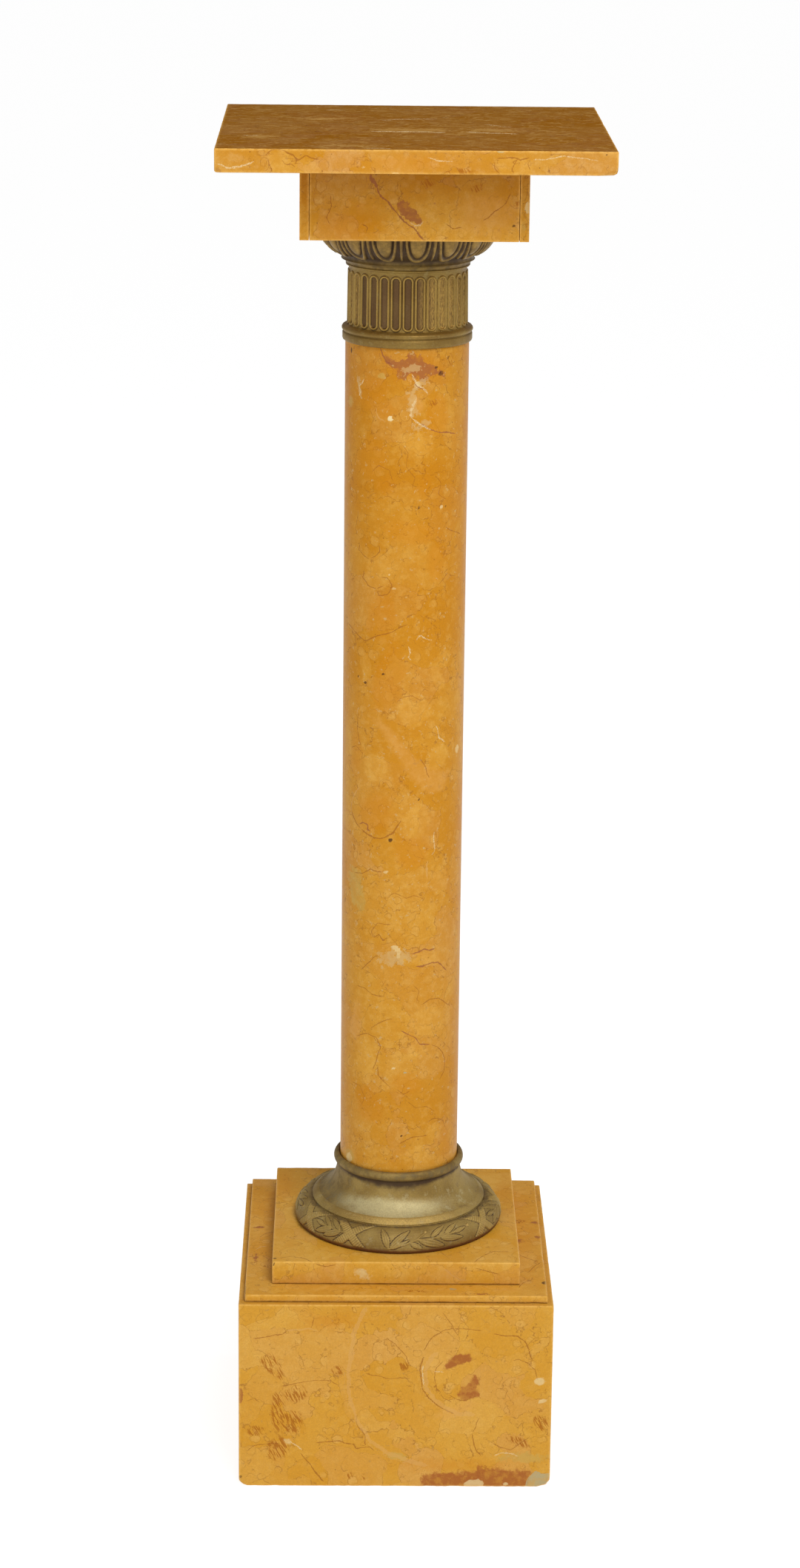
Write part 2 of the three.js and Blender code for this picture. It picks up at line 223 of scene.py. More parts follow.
def worn_block(node, material, seed, steps=(3.0, 4.0, 3.0), ease=SLAB_EASE, wear=0.8, chips=(),
               front=None, top=None):
    """A stone block with eased and worn arrises, and marks on its front and top.

    A chip is the middle, the reach along x, y and z, and the depth of a broken place.
    """
    low, high = node_box(node)
    points, quads = box_grid(low, high, steps)
    rough = lattice(points, LARGE_WEAR, seed) * 0.5 + lattice(points, SMALL_WEAR, seed + 1) * 0.5
    radius = ease * (1 + wear * np.clip(rough - 0.45, 0, 1) * 4)
    for x, y, z, reach_x, reach_y, reach_z, depth in chips:
        away = (points - (x, y, z)) / (reach_x, reach_y, reach_z)
        near = np.exp(-np.sum(away**2, 1) ** 2)
        radius = np.maximum(radius, depth * near * (0.75 + 0.5 * rough))
    radius = np.minimum(radius, (high - low).min() * 0.45)[:, None]
    core = np.clip(points, low + radius, high - radius)
    away = points - core
    length = np.linalg.norm(away, axis=1, keepdims=True)
    shaped = np.where(length > 1e-6, core + away / np.maximum(length, 1e-6) * radius, points)
    to_faces = np.sort(np.minimum(points - low, high - points), axis=1)
    layers = {"edge": np.clip(1 - to_faces[:, 1] / PALE_EDGE, 0, 1)}
    for marks, axis, level in ((front, 1, low[1]), (top, 2, high[2])):
        if marks:
            others = [a for a in range(3) if a != axis]
            on_face = np.abs(points[:, axis] - level) < 1e-3
            found = paint(points[on_face][:, others], on_plane(axis, level), *marks, seed + axis)
            for key, values in found.items():
                blank = VEIN_REACH if key.endswith("_line") else 0.0
                whole = layers.setdefault(key, np.full(len(points), blank))
                whole[on_face] = values
    build_mesh(node, "marble", shaped, quads, material, layers)


def resample(corners, step):
    """Points along a profile no further apart than a step, with every corner kept."""
    corners = np.asarray(corners, float)
    out = [corners[0]]
    for a, b in zip(corners[:-1], corners[1:]):
        count = max(1, math.ceil(np.linalg.norm(b - a) / step))
        out.extend(a + (b - a) * k / count for k in range(1, count + 1))
    return np.array(out)


def arc(r, z, radius_r, radius_z, start, end, steps):
    """Profile points on an elliptical arc, angles in degrees."""
    angles = np.radians(np.linspace(start, end, steps + 1))
    return [(r + radius_r * math.cos(a), z + radius_z * math.sin(a)) for a in angles]


def profile_normals(profile):
    """Outward normals of a profile that runs anticlockwise seen with r to the right and z up."""
    along = np.gradient(profile, axis=0)
    normal = np.stack([along[:, 1], -along[:, 0]], 1)
    return normal / np.maximum(np.linalg.norm(normal, axis=1, keepdims=True), 1e-9)


shaft_low, shaft_high = node_box("shaft")
shaft_x = (shaft_low[0] + shaft_high[0]) / 2
shaft_r = (shaft_high[0] - shaft_low[0]) / 2


def turned_piece(node, slot, material, profile, columns, layers, relief=None):
    """A form turned about the shaft's axis, with relief along its normals.

    relief(turn in degrees, row of the profile) gives the height in millimetres, and
    layers(turn, z, row, height) the vertex attributes.
    """
    profile = np.asarray(profile, float)
    normals = profile_normals(profile)
    turn, row = np.meshgrid(np.arange(columns) * 360.0 / columns, np.arange(len(profile)))
    height = relief(turn, row) if relief else np.zeros(turn.shape)
    r = profile[row, 0] + normals[row, 0] * height
    z = node_box(node)[0][2] + (profile[row, 1] + normals[row, 1] * height)
    angle = np.radians(turn)
    points = np.stack([shaft_x + r * np.sin(angle), -r * np.cos(angle), z], -1).reshape(-1, 3)
    index = np.arange(turn.size).reshape(turn.shape)
    beside = np.roll(index, -1, axis=1)
    quads = np.stack([index[:-1], beside[:-1], beside[1:], index[1:]], -1).reshape(-1, 4)
    found = {"relief": height.ravel()}
    found.update(layers(turn.ravel(), z.ravel(), row.ravel(), height.ravel()))
    build_mesh(node, slot, points, quads, material, found)


# Placed marks


def line_field(points, line):
    """Signed distance from a line, the length along it and its whole length, in millimetres."""
    line = np.asarray(line, float)
    best = np.full(len(points), 1e9)
    side = np.ones(len(points))
    along = np.zeros(len(points))
    start = 0.0
    for a, b in zip(line[:-1], line[1:]):
        d = b - a
        length = max(np.hypot(*d), 1e-6)
        t = np.clip((points - a) @ d / length**2, 0, 1)
        off = points - a - t[:, None] * d
        away = np.hypot(off[:, 0], off[:, 1])
        closer = away < best
        best = np.where(closer, away, best)
        side = np.where(closer, np.where(d[0] * off[:, 1] - d[1] * off[:, 0] < 0, -1, 1), side)
        along = np.where(closer, start + t * length, along)
        start += length
    return best * side, along, start


def inside_field(points, outline):
    """Distance inside a closed outline, negative outside, in millimetres."""
    outline = np.asarray(outline, float)
    distance = np.abs(line_field(points, np.vstack([outline, outline[:1]]))[0])
    inside = np.zeros(len(points), bool)
    for (x0, y0), (x1, y1) in zip(outline, np.roll(outline, -1, axis=0)):
        crosses = (y0 > points[:, 1]) != (y1 > points[:, 1])
        at = x0 + (points[:, 1] - y0) * (x1 - x0) / (y1 - y0 if y1 != y0 else 1e-9)
        inside ^= crosses & (points[:, 0] < at)
    return np.where(inside, distance, -distance)


# The largest distance that a vein's field holds, in millimetres, and photograph pixels to a millimetre
VEIN_REACH = 4.0
PHOTO_SCALE = 1.9
# Sizes of small and large waves, how far they push a mark's edge, and the reach from which a patch
# gets the large ones
SMALL_WAVE = 7.0
LARGE_WAVE = 16.0
WIGGLE = 2.0
DRIFT = 7.0
LARGE_PATCH = 8
# Length over which a vein's end thins out
VEIN_END = 3.0


def waves(uv, size, seeds):
    """Two noises from -0.5 to 0.5 at surface points, one for each seed."""
    lift = np.column_stack([uv, np.zeros(len(uv))])
    return np.column_stack([lattice(lift, size, seed) for seed in seeds]) - 0.5


def paint(uv, place, veins, patches, seed):
    """Fields of veins (signed distance, half-width) and of patches (0.5 on their edge) at surface points."""
    points = uv + waves(uv, SMALL_WAVE, (seed, seed + 3)) * WIGGLE
    blobs = points + waves(uv, LARGE_WAVE, (seed + 5, seed + 7)) * DRIFT
    layers = {}
    for kind, width, line in veins:
        distance, along, length = line_field(points, [place(x, y) for x, y in line])
        to_end = np.clip(np.minimum(along, length - along) / VEIN_END, 0, 1)
        taper = to_end * np.clip(2 - np.abs(distance) / 2, 0, 1)
        old = layers.get(kind + "_line", np.full(len(uv), VEIN_REACH))
        closer = np.abs(distance) < np.abs(old)
        layers[kind + "_line"] = np.where(closer, distance, old)
        old = layers.get(kind + "_width", np.zeros(len(uv)))
        layers[kind + "_width"] = np.where(closer, width / 2 * taper, old)
    for kind, soft, shape in patches:
        if isinstance(shape, list):
            distance = inside_field(points, [place(x, y) for x, y in shape])
        else:
            x, y, reach_x, reach_y, tilt = shape
            away = (blobs if min(reach_x, reach_y) > LARGE_PATCH else points) - place(x, y)
            c, s = math.cos(math.radians(tilt)), math.sin(math.radians(tilt))
            reach_x, reach_y = reach_x / PHOTO_SCALE, reach_y / PHOTO_SCALE
            across = (away[:, 0] * c + away[:, 1] * s) / reach_x
            up = (away[:, 1] * c - away[:, 0] * s) / reach_y
            distance = (1 - np.hypot(across, up)) * min(reach_x, reach_y)
        level = np.clip(0.5 + distance / (2 * soft), 0, 1)
        layers[kind] = np.maximum(layers.get(kind, np.zeros(len(uv))), level)
    return layers


def read_marks(text):
    """Veins and patches from lines of photograph pixels, each line for marks of one kind and size.

    A vein has its width in millimetres and its points. A patch has its soft edge in millimetres and its
    outline, or an oval's middle, half-width, half-height and tilt in degrees.
    """
    veins, patches = [], []
    for line in text.strip().splitlines():
        look, shapes = line.split(":")
        kind, size = look.split()
        for shape in shapes.split(";"):
            points = [tuple(float(v) for v in word.split(",")) for word in shape.split()]
            if len(points) == 1:
                points = (*points[0], 0.0)[:5]
            (veins if kind in VEIN_LOOK else patches).append((kind, float(size), points))
    return veins, patches


def kinds(*groups):
    """The names of the layers that some marks need."""
    return {mark[0] for veins, patches in groups for mark in [*veins, *patches]}


# Material tools


class Shader:
    """A small way to write node trees: each call adds a node and returns its output socket."""

    def __init__(self, name):
        self.material = bpy.data.materials.new(name)
        self.material.use_nodes = True
        self.tree = self.material.node_tree
        self.tree.nodes.clear()
        out = self.tree.nodes.new("ShaderNodeOutputMaterial")
        self.bsdf = self.tree.nodes.new("ShaderNodeBsdfPrincipled")
        self.tree.links.new(self.bsdf.outputs[0], out.inputs["Surface"])

    def plug(self, socket, value):
        if isinstance(value, bpy.types.NodeSocket):
            self.tree.links.new(value, socket)
        elif value is not None:
            if socket.type == "RGBA" and len(value) == 3:
                value = (*value, 1)
            socket.default_value = value

    def add(self, kind, *values, **settings):
        """A node with settings, its first sockets filled with values."""
        node = self.tree.nodes.new("ShaderNode" + kind)
        for name, setting in settings.items():
            setattr(node, name, setting)
        for socket, value in zip(node.inputs, values):
            self.plug(socket, value)
        return node

    def math(self, operation, a, b=None, c=None, clamp=False):
        return self.add("Math", a, b, c, operation=operation, use_clamp=clamp).outputs[0]

    def times(self, a, b):
        return self.math("MULTIPLY", a, b)

    def vector(self, operation, a, b=None):
        return self.add("VectorMath", a, b, operation=operation).outputs[0]

    def scaled(self, vector, scale):
        node = self.add("VectorMath", vector, operation="SCALE")
        node.inputs["Scale"].default_value = scale
        return node.outputs[0]

    def push(self, vector, way, scale):
        """The vector moved by another one that is scaled first."""
        return self.vector("ADD", vector, self.scaled(way, scale))

    def ramp(self, value, low, high, to_low=0.0, to_high=1.0):
        node = self.add("MapRange", value, low, high, to_low, to_high, interpolation_type="SMOOTHSTEP")
        return node.outputs[0]

    def texture(self, kind, vector, scale, **settings):
        node = self.add(kind, vector, **settings)
        node.inputs["Scale"].default_value = scale
        return node

    def noise(self, vector, scale, detail, rough, colour=False):
        node = self.texture("TexNoise", vector, scale)
        node.inputs["Detail"].default_value = detail
        node.inputs["Roughness"].default_value = rough
        return node.outputs["Color" if colour else 0]

    def swirl(self, vector, scale, detail, rough):
        """Three noises around zero."""
        return self.vector("SUBTRACT", self.noise(vector, scale, detail, rough, colour=True), (0.5, 0.5, 0.5))

    def voronoi(self, vector, size, feature="F1", randomness=1.0):
        """Distance and random colour of Voronoi cells of a size in millimetres."""
        node = self.texture("TexVoronoi", vector, 1 / size, feature=feature)
        node.inputs["Randomness"].default_value = randomness
        return node.outputs["Distance"], node.outputs.get("Color")

    def mix(self, factor, a, b, mode="MIX"):
        node = self.add("Mix", factor, data_type="RGBA", blend_type=mode)
        self.plug(node.inputs[6], a)
        self.plug(node.inputs[7], b)
        return node.outputs[2]

    def split(self, vector):
        return self.add("SeparateXYZ", vector).outputs

    def place(self):
        """Object coordinates in millimetres: the pieces sit at the origin, so this is the row frame."""
        return self.scaled(self.add("TexCoord").outputs["Object"], 1 / MM)

    def turned(self, vector, angle):
        """The vector turned about Y, in degrees."""
        node = self.add("VectorRotate", vector, rotation_type="Y_AXIS")
        node.inputs["Angle"].default_value = math.radians(angle)
        return node.outputs[0]

    def attribute(self, name):
        return self.add("Attribute", attribute_name=name).outputs["Fac"]

    def bump(self, height, distance, strength):
        node = self.add("Bump")
        node.inputs["Strength"].default_value = strength
        node.inputs["Distance"].default_value = distance * MM
        self.plug(node.inputs["Height"], height)
        self.plug(self.bsdf.inputs["Normal"], node.outputs[0])


def srgb(r, g, b):
    """A colour given as 8-bit display values, made linear."""
    out = []
    for value in (r, g, b):
        value /= 255
        out.append(value / 12.92 if value <= 0.04045 else ((value + 0.055) / 1.055) ** 2.4)
    return tuple(out)


# Marble

HONEY = srgb(209, 151, 50)
AMBER = srgb(199, 133, 24)
CREAM = srgb(216, 164, 74)
ROSE = srgb(204, 145, 68)
UMBER = srgb(140, 84, 28)
EDGE_PALE = srgb(232, 182, 96)
# TOP_TINT darkens upward faces: real browning and painted shade
TOP_TINT = (0.46, 0.38, 0.36)
TOP_PALE = srgb(190, 150, 86)

# Colour, weight, raggedness and edge softness of each kind of placed patch
PATCH_LOOK = {
    "deep": (srgb(192, 120, 12), 0.42, 0.7, 0.4),
    "cream": (srgb(219, 168, 76), 0.24, 1.0, 0.3),
    "rose": (srgb(206, 150, 74), 0.5, 0.4, 0.4),
    "plum": (srgb(152, 90, 50), 0.85, 1.3, 0.14),
    "rust": (srgb(156, 88, 40), 0.9, 0.9, 0.28),
    "green": (srgb(188, 152, 74), 0.7, 1.3, 0.2),
    "chalk": (srgb(218, 192, 136), 0.7, 0.8, 0.2),
    "grey": (srgb(172, 156, 114), 0.92, 0.25, 0.1),
    "pale": (srgb(196, 154, 88), 0.4, 1.6, 0.12),
    "milk": (srgb(196, 162, 106), 0.6, 1.8, 0.14),
    "dot": (srgb(222, 202, 152), 0.95, 0.1, 0.2),
    "dark": (srgb(72, 44, 26), 0.85, 0.2, 0.15),
}
# Colour and weight of each kind of placed vein
VEIN_LOOK = {
    "crack": (srgb(140, 80, 30), 0.62),
    "band": (srgb(204, 156, 88), 0.45),
    "purple": (srgb(142, 84, 52), 0.8),
    "white": (srgb(212, 186, 138), 0.8),
    "bright": (srgb(236, 212, 166), 0.9),
    "joint": (srgb(78, 46, 22), 0.85),
}
STROKE_BROWN = srgb(156, 90, 22)
SPECK_BROWN = srgb(112, 62, 24)
STROKE_TILT = 28.0

# Sizes of the stone's figure, in millimetres
CELL = 36
NODULE = 11
FISSURE = 21
SPECK = 6.5
DASH = 15


def marble_ground(s, place, calm):
    """The stone without its marks (cells, nodules, hairs, specks, clouds), and noises to share."""
    wide = s.swirl(place, 0.03, 1, 0.5)
    fine = s.swirl(place, 0.14, 2, 0.6)
    bent = s.push(s.push(place, wide, 44.0), fine, 11.0)
    cloud = s.noise(bent, 0.014, 2, 0.5)
    mottle = s.noise(place, 0.16, 4, 0.66)
    grain = s.noise(place, 1.0, 2, 0.6)
    cells, _ = s.voronoi(bent, CELL, "DISTANCE_TO_EDGE")
    cell_tone = s.split(s.voronoi(bent, CELL)[1])
    colour = s.mix(s.ramp(cloud, 0.36, 0.6, calm, 1.0), AMBER, HONEY)
    colour = s.mix(s.ramp(cell_tone[0], 0.5, 0.95, 0.0, 0.3), colour, CREAM)
    colour = s.mix(s.ramp(cell_tone[1], 0.5, 0.95, 0.0, 0.34), colour, AMBER)
    colour = s.mix(s.ramp(cell_tone[2], 0.6, 0.95, 0.0, 0.4), colour, ROSE)
    nodules, nodule_tone = s.voronoi(s.push(place, fine, 5.0), NODULE, "F1", 0.8)
    cluster = s.ramp(s.split(wide)[2], -0.06, 0.03)
    inside = s.times(s.ramp(nodules, 0.3, 0.42, 1, 0), cluster)
    from_rim = s.math("ABSOLUTE", s.math("SUBTRACT", nodules, 0.4))
    rim = s.times(s.ramp(from_rim, 0.0, 0.035, 1, 0), cluster)
    paler = s.ramp(s.split(nodule_tone)[0], 0.3, 0.9, 0.0, 0.45)
    colour = s.mix(s.times(inside, paler), colour, CREAM)
    colour = s.mix(s.times(rim, s.ramp(mottle, 0.4, 0.54, 0.0, 0.5)), colour, UMBER)
    colour = s.mix(s.ramp(mottle, 0.36, 0.6, 0.46 * (1 - calm), 0.0), colour, AMBER)
    colour = s.mix(s.ramp(mottle, 0.5, 0.66, 0.0, 0.34 * (1 - calm)), colour, CREAM)
    hair = s.times(s.ramp(cells, 0.0, 0.015, 1, 0), s.ramp(mottle, 0.43, 0.54))
    colour = s.mix(s.times(hair, 0.55), colour, UMBER)
    fissures, _ = s.voronoi(s.push(place, fine, 16.0), FISSURE, "DISTANCE_TO_EDGE")
    few = s.ramp(s.split(fine)[1], 0.02, 0.08)
    fissure = s.times(s.ramp(fissures, 0.0, 0.02, 1, 0), few)
    colour = s.mix(s.times(fissure, 0.46), colour, UMBER)
    specks, speck_tone = s.voronoi(place, SPECK)
    speck = s.times(s.ramp(specks, 0.05, 0.1, 1, 0), s.ramp(s.split(speck_tone)[0], 0.76, 0.82))
    colour = s.mix(s.times(speck, 0.66), colour, SPECK_BROWN)
    dashes, dash_tone = s.voronoi(s.vector("MULTIPLY", bent, (1.0, 1.0, 2.6)), DASH)
    dash = s.times(s.ramp(dashes, 0.03, 0.09, 1, 0), s.ramp(s.split(dash_tone)[1], 0.7, 0.78))
    colour = s.mix(s.times(dash, 0.5), colour, UMBER)
    colour = s.mix(s.ramp(grain, 0.35, 0.7, 0.16, 0.0), colour, UMBER)
    return colour, bent, mottle, grain


def brown_and_shade_top(s, colour, place, bent, brown):
    """Upward faces made browner, as real browning and painted shade, with long pale clouds and fine
    scratches.
    """
    normal = s.add("NewGeometry").outputs["Normal"]
    upward = s.ramp(s.split(normal)[2], 0.75, 0.98)
    # Upward faces darkened: real browning and painted shade
    colour = s.mix(s.times(upward, brown), colour, s.mix(1.0, colour, TOP_TINT, "MULTIPLY"))
    long = s.noise(s.vector("MULTIPLY", bent, (0.16, 1.0, 1.0)), 0.2, 4, 0.6)
    scratch = s.noise(s.vector("MULTIPLY", place, (0.07, 0.55, 1.0)), 0.7, 3, 0.65)
    pale = s.math("ADD", s.ramp(long, 0.5, 0.64, 0.0, 0.38), s.ramp(scratch, 0.6, 0.68, 0.0, 0.45))
    return s.mix(s.times(upward, pale), colour, TOP_PALE)


def marble_patches(s, colour, place, layers, ragged, mottle):
    """The placed patches with ragged edges, and the slanted strokes."""
    uneven = s.times(s.math("SUBTRACT", ragged, 0.5), 2.0)
    blotch = s.ramp(mottle, 0.35, 0.55, 0.6, 1.0)
    for kind, (tone, weight, rough, soft) in PATCH_LOOK.items():
        if kind in layers:
            level = s.math("MULTIPLY_ADD", uneven, rough, s.attribute(kind))
            mask = s.ramp(level, 0.52 - soft, 0.52 + soft)
            colour = s.mix(s.times(mask, s.times(blotch, weight)), colour, tone)
    if "stroke" in layers:
        slanted = s.vector("MULTIPLY", s.turned(place, STROKE_TILT), (0.85, 0.5, 0.15))
        hatch = s.ramp(s.noise(slanted, 1.0, 3, 0.6), 0.45, 0.56)
        level = s.ramp(s.math("MULTIPLY_ADD", uneven, 0.4, s.attribute("stroke")), 0.15, 0.65)
        colour = s.mix(s.times(hatch, s.times(level, 0.8)), colour, STROKE_BROWN)
    return colour


def marble_veins(s, colour, place, layers, ragged, grain):
    """The placed veins and cracks, with uneven width. The white ones are broken up by the grain."""
    thin = s.times(s.math("SUBTRACT", s.noise(place, 0.6, 2, 0.6), 0.5), 1.3)
    for kind, (tone, weight) in VEIN_LOOK.items():
        if kind in layers:
            width = s.attribute(kind + "_width")
            away = s.math("ABSOLUTE", s.math("ADD", s.attribute(kind + "_line"), thin))
            inner = s.times(width, s.ramp(ragged, 0.35, 0.65, 0.45, 1.2))
            mask = s.ramp(s.math("SUBTRACT", away, inner), -0.1, 0.28, 1, 0)
            mask = s.times(mask, s.ramp(width, 0.05, 0.25, 0, weight))
            if kind in ("white", "bright"):
                mask = s.times(mask, s.ramp(grain, 0.4, 0.56, 0.2, 1.0))
            colour = s.mix(mask, colour, tone)
    return colour


def marble(name, shift, layers=(), gain=(1, 1, 1), brown=0.0, shade=None, calm=0.0):
    """Yellow marble with the placed marks in layers.

    gain multiplies the stone's colour, brown darkens upward faces as real browning and painted shade, shade
    is painted shade, a tint that comes in between two heights, as (foot, head, tint), and calm weakens the
    clouds.
    """
    s = Shader(name)
    place = s.vector("ADD", s.place(), shift)
    colour, bent, mottle, grain = marble_ground(s, place, calm)
    colour = s.vector("MULTIPLY", colour, gain)
    if brown:
        colour = brown_and_shade_top(s, colour, place, bent, brown)
    if shade:
        foot, head, tint = shade
        up = s.ramp(s.split(s.place())[2], foot, head)
        colour = s.mix(up, colour, s.vector("MULTIPLY", colour, tint))
    ragged = s.noise(place, 0.24, 4, 0.7)
    colour = marble_patches(s, colour, place, layers, ragged, mottle)
    colour = marble_veins(s, colour, place, layers, ragged, grain)
    worn = s.times(s.attribute("edge"), s.ramp(ragged, 0.35, 0.6, 0.2, 0.7))
    s.plug(s.bsdf.inputs["Base Color"], s.mix(worn, colour, EDGE_PALE))
    s.plug(s.bsdf.inputs["Roughness"], s.ramp(mottle, 0.3, 0.7, 0.32, 0.44))
    s.bsdf.inputs["Specular IOR Level"].default_value = 0.0 if brown else 0.06
    s.bump(s.noise(place, 0.7, 2, 0.7), 0.07, 0.3)
    return s.material


# Brass

BRASS_OLIVE = srgb(164, 137, 68)
BRASS_DULL = srgb(140, 112, 48)
BRASS_GILT_AND_HIGHLIGHT = srgb(222, 184, 96)
BRASS_DARK = srgb(92, 62, 38)
# Near-black: painted shade on the hollows' walls, and stain with painted shade and shadow
BRASS_STAIN_AND_SHADE = srgb(52, 33, 20)
# Pale bloom, also the colour of the painted highlight across the bell's front
BRASS_BLOOM_AND_HIGHLIGHT = srgb(204, 190, 132)
BRASS_RUST = srgb(96, 50, 28)
# Colour and weight of each kind of placed mark: the bloom is pale patina with a painted highlight, the stain
# is stain with painted shade and shadow
BRASS_LAYERS = {"bloom": (BRASS_BLOOM_AND_HIGHLIGHT, 0.7), "stain": (BRASS_STAIN_AND_SHADE, 0.9), "rust": (BRASS_RUST, 0.85)}


def brass(name, layers, sunk, hollow, gilt, gain, rough):
    """Old gilt brass: olive gold, brown patina in the hollows with painted shade on their walls, gilt and
    painted highlight where it stands proud, and its layers.

    hollow is the weight of the brown patina, which is reached at the relief sunk, in millimetres. gilt is the
    weight of the gold and painted highlight on what stands proud.
    """
    s = Shader(name)
    place = s.place()
    relief = s.attribute("relief")
    cloud = s.noise(place, 0.035, 3, 0.6)
    blot = s.noise(place, 0.14, 5, 0.68)
    grain = s.noise(place, 0.9, 3, 0.6)
    colour = s.mix(s.ramp(cloud, 0.38, 0.62), BRASS_OLIVE, BRASS_DULL)
    colour = s.mix(s.ramp(blot, 0.52, 0.72, 0.0, 0.35), colour, BRASS_BLOOM_AND_HIGHLIGHT)
    colour = s.mix(s.ramp(blot, 0.28, 0.45, 0.4, 0.0), colour, BRASS_DARK)
    # Gilt and painted highlight where the relief stands proud
    colour = s.mix(s.ramp(relief, 0.3, 0.8, 0.0, gilt), colour, BRASS_GILT_AND_HIGHLIGHT)
    dark = s.ramp(relief, sunk, sunk * 0.2, hollow, 0.0)
    colour = s.mix(s.times(dark, s.ramp(grain, 0.3, 0.6, 0.75, 1.0)), colour, BRASS_DARK)
    # Painted shade on the walls of the hollows, darkest where the relief passes sunk
    from_wall = s.math("ABSOLUTE", s.math("SUBTRACT", relief, sunk))
    colour = s.mix(s.ramp(from_wall, 0.0, abs(sunk) * 0.8, 0.8, 0.0), colour, BRASS_STAIN_AND_SHADE)
    uneven = s.times(s.math("SUBTRACT", blot, 0.5), 0.8)
    for kind, (tone, weight) in BRASS_LAYERS.items():
        if kind in layers:
            level = s.math("ADD", s.attribute(kind), uneven)
            colour = s.mix(s.times(s.ramp(level, 0.15, 0.85), weight), colour, tone)
    # The gold layer: gilding, with a painted highlight on the base's fillet
    rubbed = s.noise(s.vector("MULTIPLY", place, (1.0, 1.0, 0.16)), 2.0, 3, 0.7)
    level = s.times(s.attribute("gold"), s.ramp(rubbed, 0.36, 0.62, 0.15, 1.25))
    colour = s.mix(s.math("MULTIPLY", level, 0.85, clamp=True), colour, BRASS_GILT_AND_HIGHLIGHT)
    colour = s.mix(s.ramp(grain, 0.35, 0.65, 0.2, 0.0), colour, BRASS_DARK)
    s.plug(s.bsdf.inputs["Base Color"], s.vector("MULTIPLY", colour, gain))
    s.bsdf.inputs["Metallic"].default_value = 0.55
    s.plug(s.bsdf.inputs["Roughness"], s.ramp(blot, 0.3, 0.7, rough, rough + 0.14))
    s.bump(s.noise(place, 0.6, 3, 0.7), 0.1, 0.4)
    return s.material


# Stone pieces

plinth_low, plinth_high = node_box("plinth_block")
PLINTH_FRONT = read_marks("""
crack 0.7: 340,1808 358,1806 381,1802 390,1796; 664,1801 682,1804 699,1805 708,1811 714,1823 717,1832 \
    720,1840; 637,1935 638,1944 640,1952 644,1960 650,1968
band 4.4: 591,1826 578,1840 573,1858 576,1876 587,1892 603,1904 622,1911 642,1911
crack 0.5: 599,1836 589,1848 586,1862 589,1876 598,1888 611,1896; 650,1913 643,1922 637,1935; 378,1874 \
    402,1868 425,1864 447,1866 460,1872; 425,1776 423,1788 420,1797; 491,1854 505,1858 522,1862 540,1860 \
    556,1862; 520,1806 534,1815 548,1832 556,1848; 690,1840 700,1836 712,1841 722,1850 726,1866; 596,1772 \
    610,1790 618,1806; 330,1960 344,1952 362,1949 380,1950; 660,1946 675,1955 690,1958 703,1950 716,1938; \
    330,1893 343,1888 351,1895
band 1.6: 387,1797 400,1795 415,1795 430,1798
band 4.2: 494,1765 487,1778 478,1800 475,1823 470,1852 471,1882 481,1917 493,1938
band 4.6: 489,1930 498,1943 511,1955 524,1963 540,1969 558,1975 578,1979
crack 0.6: 571,1826 577,1815 587,1805 598,1798 611,1795 634,1795 652,1797
crack 0.9: 573,1832 567,1845 568,1860 571,1876 578,1888 587,1897 600,1905 614,1911; 480,1917 483,1927 \
    488,1933 493,1941 492,1949 495,1953
white 0.9: 571,1843 570,1852 571,1864 573,1872; 667,1966 678,1962 690,1963 700,1968
white 0.8: 585,1854 592,1853 600,1854
crack 0.8: 584,1870 588,1876 595,1880; 605,1884 612,1888 622,1892 630,1892 636,1890; 425,1949 440,1947 \
    458,1946 470,1950 478,1952 482,1957 490,1955 499,1954 505,1961
white 0.7: 387,1943 395,1950 402,1955 409,1959
crack 1: 405,1962 417,1976 426,1990 437,2002
stroke 2.6: 370,1846,13,22,12; 378,1906,9,34,-6; 403,1880,15,15,30; 394,1922,15,17,10; 378,1956,16,18,15
stroke 2: 346,1933,12,7; 456,1851,8,6; 700,1948,16,6,-25
stroke 1.8: 545,1845,7,7; 731,1925,10,13,20
stroke 1.4: 473,1993,5,5; 490,1995,5,5
cream 3: 590,1845,18,30; 612,1905,26,9,25
rose 3: 620,1905,30,9,15
rust 2: 599,1845 606,1835 620,1828 634,1829 638,1838 626,1841 614,1846 602,1851; 640,1856 647,1864 \
    643,1876 648,1884 638,1890 628,1893 617,1884 622,1874 632,1872 637,1862
rust 3.5: 567,1991 600,1990 642,1987 646,1981 664,1984 690,1986 716,1986 712,2012 568,2012
deep 5: 612,1978,70,10
deep 8: 440,1785,40,14
green 3: 705,1969,36,8
green 1.5: 536,1967,15,6,-15
chalk 0.8: 626,2004 634,1999 646,1998 654,2003 652,2010 628,2010; 682,2004,4,3
chalk 1.8: 729,1866,8,6,15; 389,1948,6,4,-20
chalk 0.4: 727,1894 735,1888 738,1891 730,1897
grey 0.5: 706,2012 710,2000 717,1993 722,1987 728,1989 731,1991 737,1990 748,1990 748,2012
dark 0.8: 324,1994,3,3
plum 1.2: 324,1884,5,12
""")
worn_block(
    "plinth_block",
    marble("marble_plinth", (410, 90, 20), kinds(PLINTH_FRONT), gain=(1.0, 1.08, 1.45), calm=0.6),
    seed=1,
    steps=(1.5, 5.0, 1.5),
    chips=[
        (plinth_low[0], plinth_low[1], 0, 6, 9, 6, 4.5),
        (plinth_high[0], plinth_low[1], 0, 9, 9, 8, 6.0),
        (-101.0, plinth_low[1], 0, 3.0, 4, 4, 1.6),
        (42.0, plinth_low[1], 0, 7.0, 4, 4, 1.6),
        (plinth_high[0], plinth_low[1], plinth_high[2], 3, 3, 3, 2.4),
        (plinth_high[0], plinth_low[1], 40, 3, 3, 26, 1.6),
    ],
    front=PLINTH_FRONT,
)

